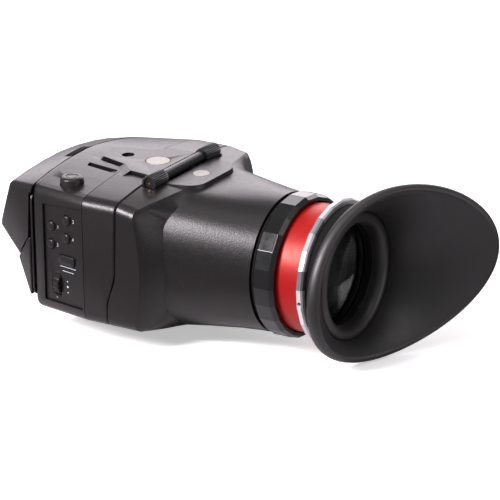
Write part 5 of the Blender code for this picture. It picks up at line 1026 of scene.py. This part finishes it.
def make_function_keys():
    """Four domed round keys, each a little sharper at its rim than the solid."""
    for number, (forward, up) in enumerate(KEY_PLACES, start=1):
        profile = [(KEY_RADIUS * share, -KEY_DOME * drop) for share, drop in KEY_PROFILE]
        profile += [(KEY_RADIUS, -KEY_DEPTH), (0.0, -KEY_DEPTH)]
        form = spun(profile, SMALL_RING_STEPS, "Z", closed=False)
        new_piece(f"round_key_{number}", form, "key", f"function_{number}", (f"function_key_{number}",),
                  side_place(KEY_FACE, forward, up))


def rounded_rectangle(half_width, half_height, radius, steps=PLATEAU_CORNER_STEPS):
    """A centred rounded rectangle as (x, y) points."""
    reach_x, reach_y = half_width - radius, half_height - radius
    points = arc((reach_x, reach_y), radius, 0, 90, steps)
    points += arc((-reach_x, reach_y), radius, 90, 180, steps)
    points += arc((-reach_x, -reach_y), radius, 180, 270, steps)
    return points + arc((reach_x, -reach_y), radius, 270, 360, steps)


def make_menu_key():
    """The oblong key with a softly crowned face."""
    form = raised(rounded_rectangle(*MENU_HALF_SIZE, MENU_CORNER), -KEY_DEPTH + MENU_FACE, 0.0)
    top = [face for face in form.faces if face.normal.z > FACING_UP]
    inner = bmesh.ops.inset_region(form, faces=top, thickness=MENU_DOME, depth=MENU_DOME / 2)
    top = [face for face in form.faces if face.normal.z > FACING_STRAIGHT_UP and face not in inner["faces"]]
    bmesh.ops.inset_region(form, faces=top, thickness=MENU_DOME, depth=MENU_DOME / 5)
    new_piece("oblong_key", form, "key", "menu", ("menu_key",), side_place(MENU_FACE, *MENU_PLACE))


def make_power_button():
    """The tall power button: dished top with one ring mark, rounded shoulder and straight skirt."""
    _, size, top = box_parts("power_button")
    radius = size.x / 2
    profile = [(radius * share, -drop) for share, drop in POWER_PROFILE] + [(radius, -size.z), (0.0, -size.z)]
    form = spun(profile, SMALL_RING_STEPS, "Z", closed=False)
    new_piece("power_cap", form, "key", "power", ("power_button",), Matrix.Translation(top))


def make_socket_insert(number):
    """The black nylon body seen inside a video socket's metal shell."""
    centre = box_parts(f"video_socket_{number}")[0]
    place = Matrix.Translation(centre) @ Matrix.Rotation(math.atan(SIDE_TAPER_SHARE), 4, "Z")
    new_piece(f"socket_insert_{number}", block(INSERT_SIZE, (-INSERT_SET_BACK, 0.0, 0.0)), "inner", "housing",
              place=place, smooth=False)


def print_mark(name, form, forward, up):
    """A mark printed on the key panel."""
    new_piece(name, form, "print", "housing", place=side_place(PANEL_RECESS, forward, up),
              smooth=False)


def make_key_labels():
    """Plain numbers beside the round keys, two short lines under the oblong one and three jog marks."""
    for number, (forward, up) in enumerate(KEY_PLACES, start=1):
        text = bpy.data.curves.new(f"number_{number}", "FONT")
        text.body = str(number)
        text.size = LABEL_SIZE
        text.align_x = "CENTER"
        text.align_y = "CENTER"
        carrier = bpy.data.objects.new(f"number_{number}", text)
        bpy.context.scene.collection.objects.link(carrier)
        bpy.context.view_layer.update()
        mesh = bpy.data.meshes.new_from_object(carrier.evaluated_get(bpy.context.evaluated_depsgraph_get()))
        bpy.data.objects.remove(carrier, do_unlink=True)
        form = bmesh.new()
        form.from_mesh(mesh)
        bmesh.ops.remove_doubles(form, verts=form.verts, dist=MERGE_DISTANCE)
        bmesh.ops.translate(form, verts=form.verts, vec=(0.0, 0.0, SURFACE_LIFT))
        print_mark(f"printed_number_{number}", form, forward - LABEL_OFFSET, up)
    for index, (forward, up, length) in enumerate(LABEL_LINES, start=1):
        outline = rounded_rectangle(length / 2, LABEL_LINE_HEIGHT / 2, LABEL_LINE_HEIGHT / 5)
        print_mark(f"printed_line_{index}", raised(outline, 0.0, SURFACE_LIFT), forward, up)
    for index, (forward, up, sides, turn) in enumerate(JOG_MARKS, start=1):
        form = bmesh.new()
        bmesh.ops.create_circle(form, cap_ends=True, segments=sides, radius=JOG_MARK_SIZE,
                                matrix=Matrix.Translation((0.0, 0.0, SURFACE_LIFT)))
        print_mark(f"printed_jog_mark_{index}", turned(form, turn, "Z"), forward, up)


def aim_camera():
    """The camera at its fitted place."""
    data = bpy.data.cameras.new("viewing_camera")
    data.lens = CAMERA_LENS
    data.sensor_width = CAMERA_SENSOR
    data.clip_start, data.clip_end = CAMERA_REACH
    camera = bpy.data.objects.new("viewing_camera", data)
    level = math.cos(CAMERA_PITCH)
    forward = Vector((math.sin(CAMERA_YAW) * level, math.cos(CAMERA_YAW) * level, -math.sin(CAMERA_PITCH)))
    right = Vector((math.cos(CAMERA_YAW), -math.sin(CAMERA_YAW), 0.0))
    up = right.cross(forward)
    across = right * math.cos(CAMERA_ROLL) + up * math.sin(CAMERA_ROLL)
    over = up * math.cos(CAMERA_ROLL) - right * math.sin(CAMERA_ROLL)
    turn = Matrix((across, over, -forward)).transposed().to_4x4()
    camera.matrix_world = Matrix.Translation(CAMERA_PLACE) @ turn
    bpy.context.scene.collection.objects.link(camera)
    bpy.context.scene.camera = camera


def light_world(settings):
    """A world that the camera and glass see white, and that lights matte and mirroring surfaces dimly."""
    world = bpy.data.worlds.new("plain_studio")
    bpy.context.scene.world = world
    world.use_nodes = True
    tree = world.node_tree
    background = tree.nodes["Background"]
    background.inputs["Color"].default_value = linear("#ffffff")
    path = add_node(tree, "ShaderNodeLightPath").outputs
    mirrored = worked_out(tree, "MULTIPLY", path["Is Glossy Ray"], settings.mirror_level)
    seen = worked_out(tree, "MAXIMUM", path["Is Camera Ray"], mirrored)
    through = worked_out(tree, "MAXIMUM", seen, path["Is Transmission Ray"])
    level = add_node(tree, "ShaderNodeMapRange", {"To Min": settings.world_level, "To Max": 1.0},
                     {"Value": through})
    tree.links.new(level.outputs["Result"], background.inputs["Strength"])


def lay_floor(settings):
    """White paper under the lowest point, with a painted pool of light: in reflections it is white near the
    object and dim beyond.
    """
    floor_z = min(CAD_BOX[0][2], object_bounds()[0][2]) - settings.floor_gap
    form = bmesh.new()
    bmesh.ops.create_grid(form, x_segments=1, y_segments=1, size=settings.floor_half_size)
    floor = object_from("studio_floor", form, Matrix.Translation((0.0, 0.0, floor_z)))
    paper, tree, shader, coords = new_finish("matte_white_paper", "#fbfbfb", 0.9, {"Specular IOR Level": 0.0})
    tone = vary(tree, shader, "Base Color", coords, 60.0, "#fafafa", "#ffffff")
    # Painted light: the colour that the paper throws back falls from near white to grey away from the object
    placed = add_node(tree, "ShaderNodeMapping", {
        "Location": [-c * s for c, s in zip(PAINTED_POOL_CENTRE, PAINTED_POOL_STRETCH)], "Scale": PAINTED_POOL_STRETCH,
    }, {"Vector": coords})
    away = add_node(tree, "ShaderNodeVectorMath", {"operation": "LENGTH"}, {0: placed.outputs["Vector"]})
    fade = add_node(tree, "ShaderNodeMapRange", {"From Min": PAINTED_POOL_NEAR, "From Max": PAINTED_POOL_FAR},
                    {"Value": away.outputs["Value"]})
    painted_bounce = blended(tree, fade.outputs["Result"], settings.paper_near, settings.paper_far)
    seen = add_node(tree, "ShaderNodeLightPath").outputs["Is Camera Ray"]
    tree.links.new(blended(tree, seen, painted_bounce, tone), shader.inputs["Base Color"])
    # Lifts the floor towards white where the camera sees it, so that the shadow stays pale
    lift = worked_out(tree, "MULTIPLY", seen, settings.floor_lift)
    shader.inputs["Emission Color"].default_value = linear("#ffffff")
    tree.links.new(lift, shader.inputs["Emission Strength"])
    floor.data.materials.append(paper)
    floor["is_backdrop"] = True


def hang_lamps(settings):
    """The panels of light round the object."""
    for name, setting, place, aim, size, roll in LAMPS:
        lamp = bpy.data.lights.new(name, "AREA")
        lamp.shape = "RECTANGLE"
        lamp.size, lamp.size_y = size
        lamp.energy = getattr(settings, setting)
        lamp.color = linear(settings.lamp_tint)[:3]
        carrier = bpy.data.objects.new(name, lamp)
        bpy.context.scene.collection.objects.link(carrier)
        facing = (Vector(aim) - Vector(place)).to_track_quat("-Z", "Y").to_matrix().to_4x4()
        carrier.matrix_world = Matrix.Translation(place) @ facing @ Matrix.Rotation(roll, 4, "Z")


class ViewfinderColours(bpy.types.PropertyGroup):
    """Colours of the finishes, as sRGB hex codes."""

    case: bpy.props.StringProperty(name="Case", description="Moulded case plastic", default="#181617")
    case_worn: bpy.props.StringProperty(name="Case, paler", description="Where the case plastic is paler",
                                        default="#1c1a1b")
    interior: bpy.props.StringProperty(name="Interior", description="Matte inner plastic", default="#151414")
    key: bpy.props.StringProperty(name="Keys", description="Key caps", default="#201e1f")
    black_metal: bpy.props.StringProperty(name="Focus ring", description="Black anodised metal",
                                          default="#0f0f10")
    red_metal: bpy.props.StringProperty(name="Lens tube", description="Red anodised metal", default="#aa0c12")
    bright_metal: bpy.props.StringProperty(name="Bright ring", description="Clear anodised metal",
                                           default="#f1f1f4")
    steel: bpy.props.StringProperty(name="Discs", description="Nickel-plated steel", default="#aaa6a1")
    zinc: bpy.props.StringProperty(name="Bracket", description="Zinc-plated steel", default="#b9bcc0")
    gold: bpy.props.StringProperty(name="Contacts", description="Gold plate", default="#e0b35c")
    oxide: bpy.props.StringProperty(name="Screws", description="Blacked steel", default="#1e1d1d")
    rubber: bpy.props.StringProperty(name="Eyecup", description="Rubber", default="#171516")
    rubber_worn: bpy.props.StringProperty(name="Eyecup, paler", description="Where the rubber is paler",
                                          default="#1c1a1b")
    glass: bpy.props.StringProperty(name="Lenses", description="Lens glass", default="#f2f6f7")
    screen: bpy.props.StringProperty(name="Screen", description="Screen window", default="#0c0c0e")
    board: bpy.props.StringProperty(name="Circuit board", description="Solder mask", default="#17502f")
    film: bpy.props.StringProperty(name="Battery", description="Battery film", default="#1b2436")
    print: bpy.props.StringProperty(name="Print", description="Printed marks", default="#cdd6dd")
    print_thin: bpy.props.StringProperty(name="Print, thinner", description="Where the ink is thin",
                                         default="#b4bec6")


class ViewfinderStage(bpy.types.PropertyGroup):
    """Light and floor."""

    world_level: bpy.props.FloatProperty(name="World level", description="World light on matte surfaces",
                                         default=0.25, min=0.0, max=1.0)
    mirror_level: bpy.props.FloatProperty(name="Mirrored level", description="World light in reflections",
                                          default=0.05, min=0.0, max=1.0)
    rear_power: bpy.props.FloatProperty(name="Rear panel", description="Power of the panel behind",
                                        default=20.0, min=0.0, unit="POWER")
    overhead_power: bpy.props.FloatProperty(name="Overhead panel", description="Power of the panel above",
                                            default=5.2, min=0.0, unit="POWER")
    left_power: bpy.props.FloatProperty(name="Left panel", description="Power of the panel on the left",
                                        default=34.0, min=0.0, unit="POWER")
    eye_power: bpy.props.FloatProperty(name="Eye panel", description="Power of the panel on the eye's side",
                                       default=2.8, min=0.0, unit="POWER")
    lamp_tint: bpy.props.StringProperty(name="Lamp tint", description="Colour of every panel",
                                        default="#fff7fd")
    # Colours of the painted pool of light on the paper, as reflections see it
    paper_near: bpy.props.StringProperty(name="Paper, near", description="Paper nearby, in reflections",
                                         default="#f4f3f4")
    paper_far: bpy.props.StringProperty(name="Paper, far", description="Paper farther off, in reflections",
                                        default="#767576")
    floor_lift: bpy.props.FloatProperty(name="Floor lift", description="White added as the camera sees it",
                                        default=0.45, min=0.0, max=1.0)
    floor_half_size: bpy.props.FloatProperty(name="Floor", description="Half the floor's width", default=4.0,
                                             min=0.5, unit="LENGTH")
    floor_gap: bpy.props.FloatProperty(name="Floor gap", description="Gap under the lowest point",
                                       default=0.0002, min=0.0, unit="LENGTH")


class VIEWFINDER_OT_housing(bpy.types.Operator):
    """Dress the rear shell, front shell and neck plate"""

    bl_idname = "viewfinder.housing"
    bl_label = "Housing"

    def execute(self, context):
        dressed_copy("rear_shell", "case", "housing")
        dressed_copy("neck_plate", "case", "housing", shaping=widen_neck)
        shell = dressed_copy("front_shell", "case", "housing", 0.0, soften_front)
        carve(shell, [
            ("DIFFERENCE", raised(SLIT_CORNERS, TRENCH_FLOOR - SLIT_HALF_DEPTH, ROOF_CUT_TOP)),
            ("DIFFERENCE", raised(TRENCH_CORNERS, TRENCH_FLOOR, ROOF_CUT_TOP)),
        ])
        round_edges(shell)
        return {"FINISHED"}


class VIEWFINDER_OT_front_cover(bpy.types.Operator):
    """Dress the front cover, its base, the latch and what they hold"""

    bl_idname = "viewfinder.front_cover"
    bl_label = "Front cover"

    def execute(self, context):
        dressed_copy("front_cover", "case", "housing", shaping=settle_far_corner)
        dressed_copy("front_base", "case", "housing")
        dressed_copy("cover_latch", "inner", "latch", SMALL_EDGE_ROUND)
        dressed_copy("battery_pack", "film", "housing", SMALL_EDGE_ROUND)
        paint_node("battery_contacts", "gold")
        return {"FINISHED"}


class VIEWFINDER_OT_platform(bpy.types.Operator):
    """Dress the mounting platform, its bush and the striker disc"""

    bl_idname = "viewfinder.platform"
    bl_label = "Mounting platform"

    def execute(self, context):
        dressed_copy("mount_platform", "case", "housing", shaping=settle_far_corner)
        make_ramp()
        dressed_copy("thread_bush", "steel", "housing", SMALL_EDGE_ROUND)
        make_disc("striker_disc", "striker_plate", "housing")
        return {"FINISHED"}


class VIEWFINDER_OT_hinge(bpy.types.Operator):
    """Dress the hinge barrels and their pin"""

    bl_idname = "viewfinder.hinge"
    bl_label = "Hinge"

    def execute(self, context):
        dressed_copy("hinge_barrel_left", "case", "hood", SMALL_EDGE_ROUND)
        dressed_copy("hinge_barrel_right", "case", "hood", SMALL_EDGE_ROUND)
        dressed_copy("hinge_pin", "oxide", "hood", SMALL_EDGE_ROUND)
        make_pin_screw()
        return {"FINISHED"}


class VIEWFINDER_OT_keys(bpy.types.Operator):
    """Build the key panel's keys and print, and dress the panel"""

    bl_idname = "viewfinder.keys"
    bl_label = "Keys"

    def execute(self, context):
        dressed_copy("key_panel", "case", "housing", SMALL_EDGE_ROUND)
        make_function_keys()
        make_menu_key()
        make_power_button()
        make_key_labels()
        return {"FINISHED"}


class VIEWFINDER_OT_jog(bpy.types.Operator):
    """Dress the jog wheel with its yoke, axle and switch"""

    bl_idname = "viewfinder.jog"
    bl_label = "Jog wheel"

    def execute(self, context):
        dressed_copy("jog_wheel", "key", "jog", SMALL_EDGE_ROUND)
        paint_node("jog_yoke", "inner")
        paint_node("jog_axle", "steel")
        paint_node("jog_switch", "inner")
        return {"FINISHED"}


class VIEWFINDER_OT_hood(bpy.types.Operator):
    """Build the hood shell, its magnet and its inner mask"""

    bl_idname = "viewfinder.hood"
    bl_label = "Hood"

    def execute(self, context):
        make_hood()
        make_disc("hood_magnet", "magnet_disc", "hood")
        paint_node("screen_mask", "inner")
        paint_node("ring_race", "inner")
        return {"FINISHED"}


class VIEWFINDER_OT_focus(bpy.types.Operator):
    """Build the focus ring and the red lens tube"""

    bl_idname = "viewfinder.focus"
    bl_label = "Focus ring and tube"

    def execute(self, context):
        make_focus_ring()
        make_lens_tube()
        return {"FINISHED"}


class VIEWFINDER_OT_optics(bpy.types.Operator):
    """Build both lenses and dress the rings that hold them"""

    bl_idname = "viewfinder.optics"
    bl_label = "Optics"

    def execute(self, context):
        make_lens("field_lens", "field_lens_glass", FIELD_LENS_START)
        make_lens("eye_lens", "eye_lens_glass", EYE_LENS_START)
        paint_node("lens_spacer", "inner")
        dressed_copy("eye_lens_ring", "black_metal", "lens", SMALL_EDGE_ROUND)
        return {"FINISHED"}


class VIEWFINDER_OT_bright_ring(bpy.types.Operator):
    """Build the faceted bright ring and its set screw"""

    bl_idname = "viewfinder.bright_ring"
    bl_label = "Bright ring"

    def execute(self, context):
        make_bright_ring()
        paint_node("eyecup_core", "oxide")
        return {"FINISHED"}


class VIEWFINDER_OT_eyecup(bpy.types.Operator):
    """Build the rubber eyecup"""

    bl_idname = "viewfinder.eyecup"
    bl_label = "Eyecup"

    def execute(self, context):
        make_eyecup()
        make_collar()
        return {"FINISHED"}


class VIEWFINDER_OT_connectors(bpy.types.Operator):
    """Dress the connector panel and its sockets"""

    bl_idname = "viewfinder.connectors"
    bl_label = "Connectors"

    def execute(self, context):
        dressed_copy("connector_panel", "case", "housing", SMALL_EDGE_ROUND)
        for number in (1, 2):
            dressed_copy(f"coax_jack_{number}", "steel", "housing", SMALL_EDGE_ROUND)
            dressed_copy(f"video_socket_{number}", "zinc", "housing", SMALL_EDGE_ROUND)
            make_socket_insert(number)
        dressed_copy("phone_jack", "inner", "housing", SMALL_EDGE_ROUND)
        return {"FINISHED"}


class VIEWFINDER_OT_underside(bpy.types.Operator):
    """Dress the case screws and the rubber foot"""

    bl_idname = "viewfinder.underside"
    bl_label = "Underside"

    def execute(self, context):
        for number in (1, 2, 3, 4):
            dressed_copy(f"case_screw_{number}", "oxide", "housing", SMALL_EDGE_ROUND)
        dressed_copy("foot_pad", "rubber", "housing")
        return {"FINISHED"}


class VIEWFINDER_OT_inside(bpy.types.Operator):
    """Finish the screen and the boards behind it"""

    bl_idname = "viewfinder.inside"
    bl_label = "Screen and boards"

    def execute(self, context):
        for node, finish in (
            ("screen_window", "window"), ("screen_panel", "display"), ("window_gasket", "rubber"),
            ("screen_bracket", "zinc"), ("heat_plate", "zinc"), ("main_board", "board"),
            ("key_board", "board"), ("power_board", "board"), ("ribbon_cable", "gold"),
        ):
            paint_node(node, finish)
        return {"FINISHED"}


class VIEWFINDER_OT_stage(bpy.types.Operator):
    """Set the floor, the light and the camera"""

    bl_idname = "viewfinder.stage"
    bl_label = "Stage"

    def execute(self, context):
        context.scene.view_settings.view_transform = "Standard"
        settings = context.scene.viewfinder_stage
        aim_camera()
        light_world(settings)
        lay_floor(settings)
        hang_lamps(settings)
        return {"FINISHED"}


class VIEWFINDER_PT_panel(bpy.types.Panel):
    """The viewfinder's pieces in the sidebar"""

    bl_idname = "VIEWFINDER_PT_panel"
    bl_label = "Viewfinder"
    bl_space_type = "VIEW_3D"
    bl_region_type = "UI"
    bl_category = "Viewfinder"

    def draw(self, context):
        layout = self.layout
        for group in (context.scene.viewfinder_colours, context.scene.viewfinder_stage):
            column = layout.column()
            for name in type(group).__annotations__:
                column.prop(group, name)
        for operator in OPERATORS:
            layout.operator(operator.bl_idname)


OPERATORS = (
    VIEWFINDER_OT_housing, VIEWFINDER_OT_front_cover, VIEWFINDER_OT_platform, VIEWFINDER_OT_hinge,
    VIEWFINDER_OT_keys, VIEWFINDER_OT_jog, VIEWFINDER_OT_hood, VIEWFINDER_OT_focus, VIEWFINDER_OT_optics,
    VIEWFINDER_OT_bright_ring, VIEWFINDER_OT_eyecup, VIEWFINDER_OT_connectors, VIEWFINDER_OT_underside,
    VIEWFINDER_OT_inside, VIEWFINDER_OT_stage,
)
CLASSES = (ViewfinderColours, ViewfinderStage, *OPERATORS, VIEWFINDER_PT_panel)


def register():
    """Register the classes and hang the settings on the scene."""
    for made in CLASSES:
        bpy.utils.register_class(made)
    bpy.types.Scene.viewfinder_colours = bpy.props.PointerProperty(type=ViewfinderColours)
    bpy.types.Scene.viewfinder_stage = bpy.props.PointerProperty(type=ViewfinderStage)


def unregister():
    """Take the settings and the classes away again."""
    del bpy.types.Scene.viewfinder_stage
    del bpy.types.Scene.viewfinder_colours
    for made in reversed(CLASSES):
        bpy.utils.unregister_class(made)


def main():
    """Build every piece in order."""
    register()
    bpy.ops.viewfinder.housing()
    bpy.ops.viewfinder.front_cover()
    bpy.ops.viewfinder.platform()
    bpy.ops.viewfinder.hinge()
    bpy.ops.viewfinder.keys()
    bpy.ops.viewfinder.jog()
    bpy.ops.viewfinder.hood()
    bpy.ops.viewfinder.focus()
    bpy.ops.viewfinder.optics()
    bpy.ops.viewfinder.bright_ring()
    bpy.ops.viewfinder.eyecup()
    bpy.ops.viewfinder.connectors()
    bpy.ops.viewfinder.underside()
    bpy.ops.viewfinder.inside()
    bpy.ops.viewfinder.stage()


if __name__ == "__main__":
    main()
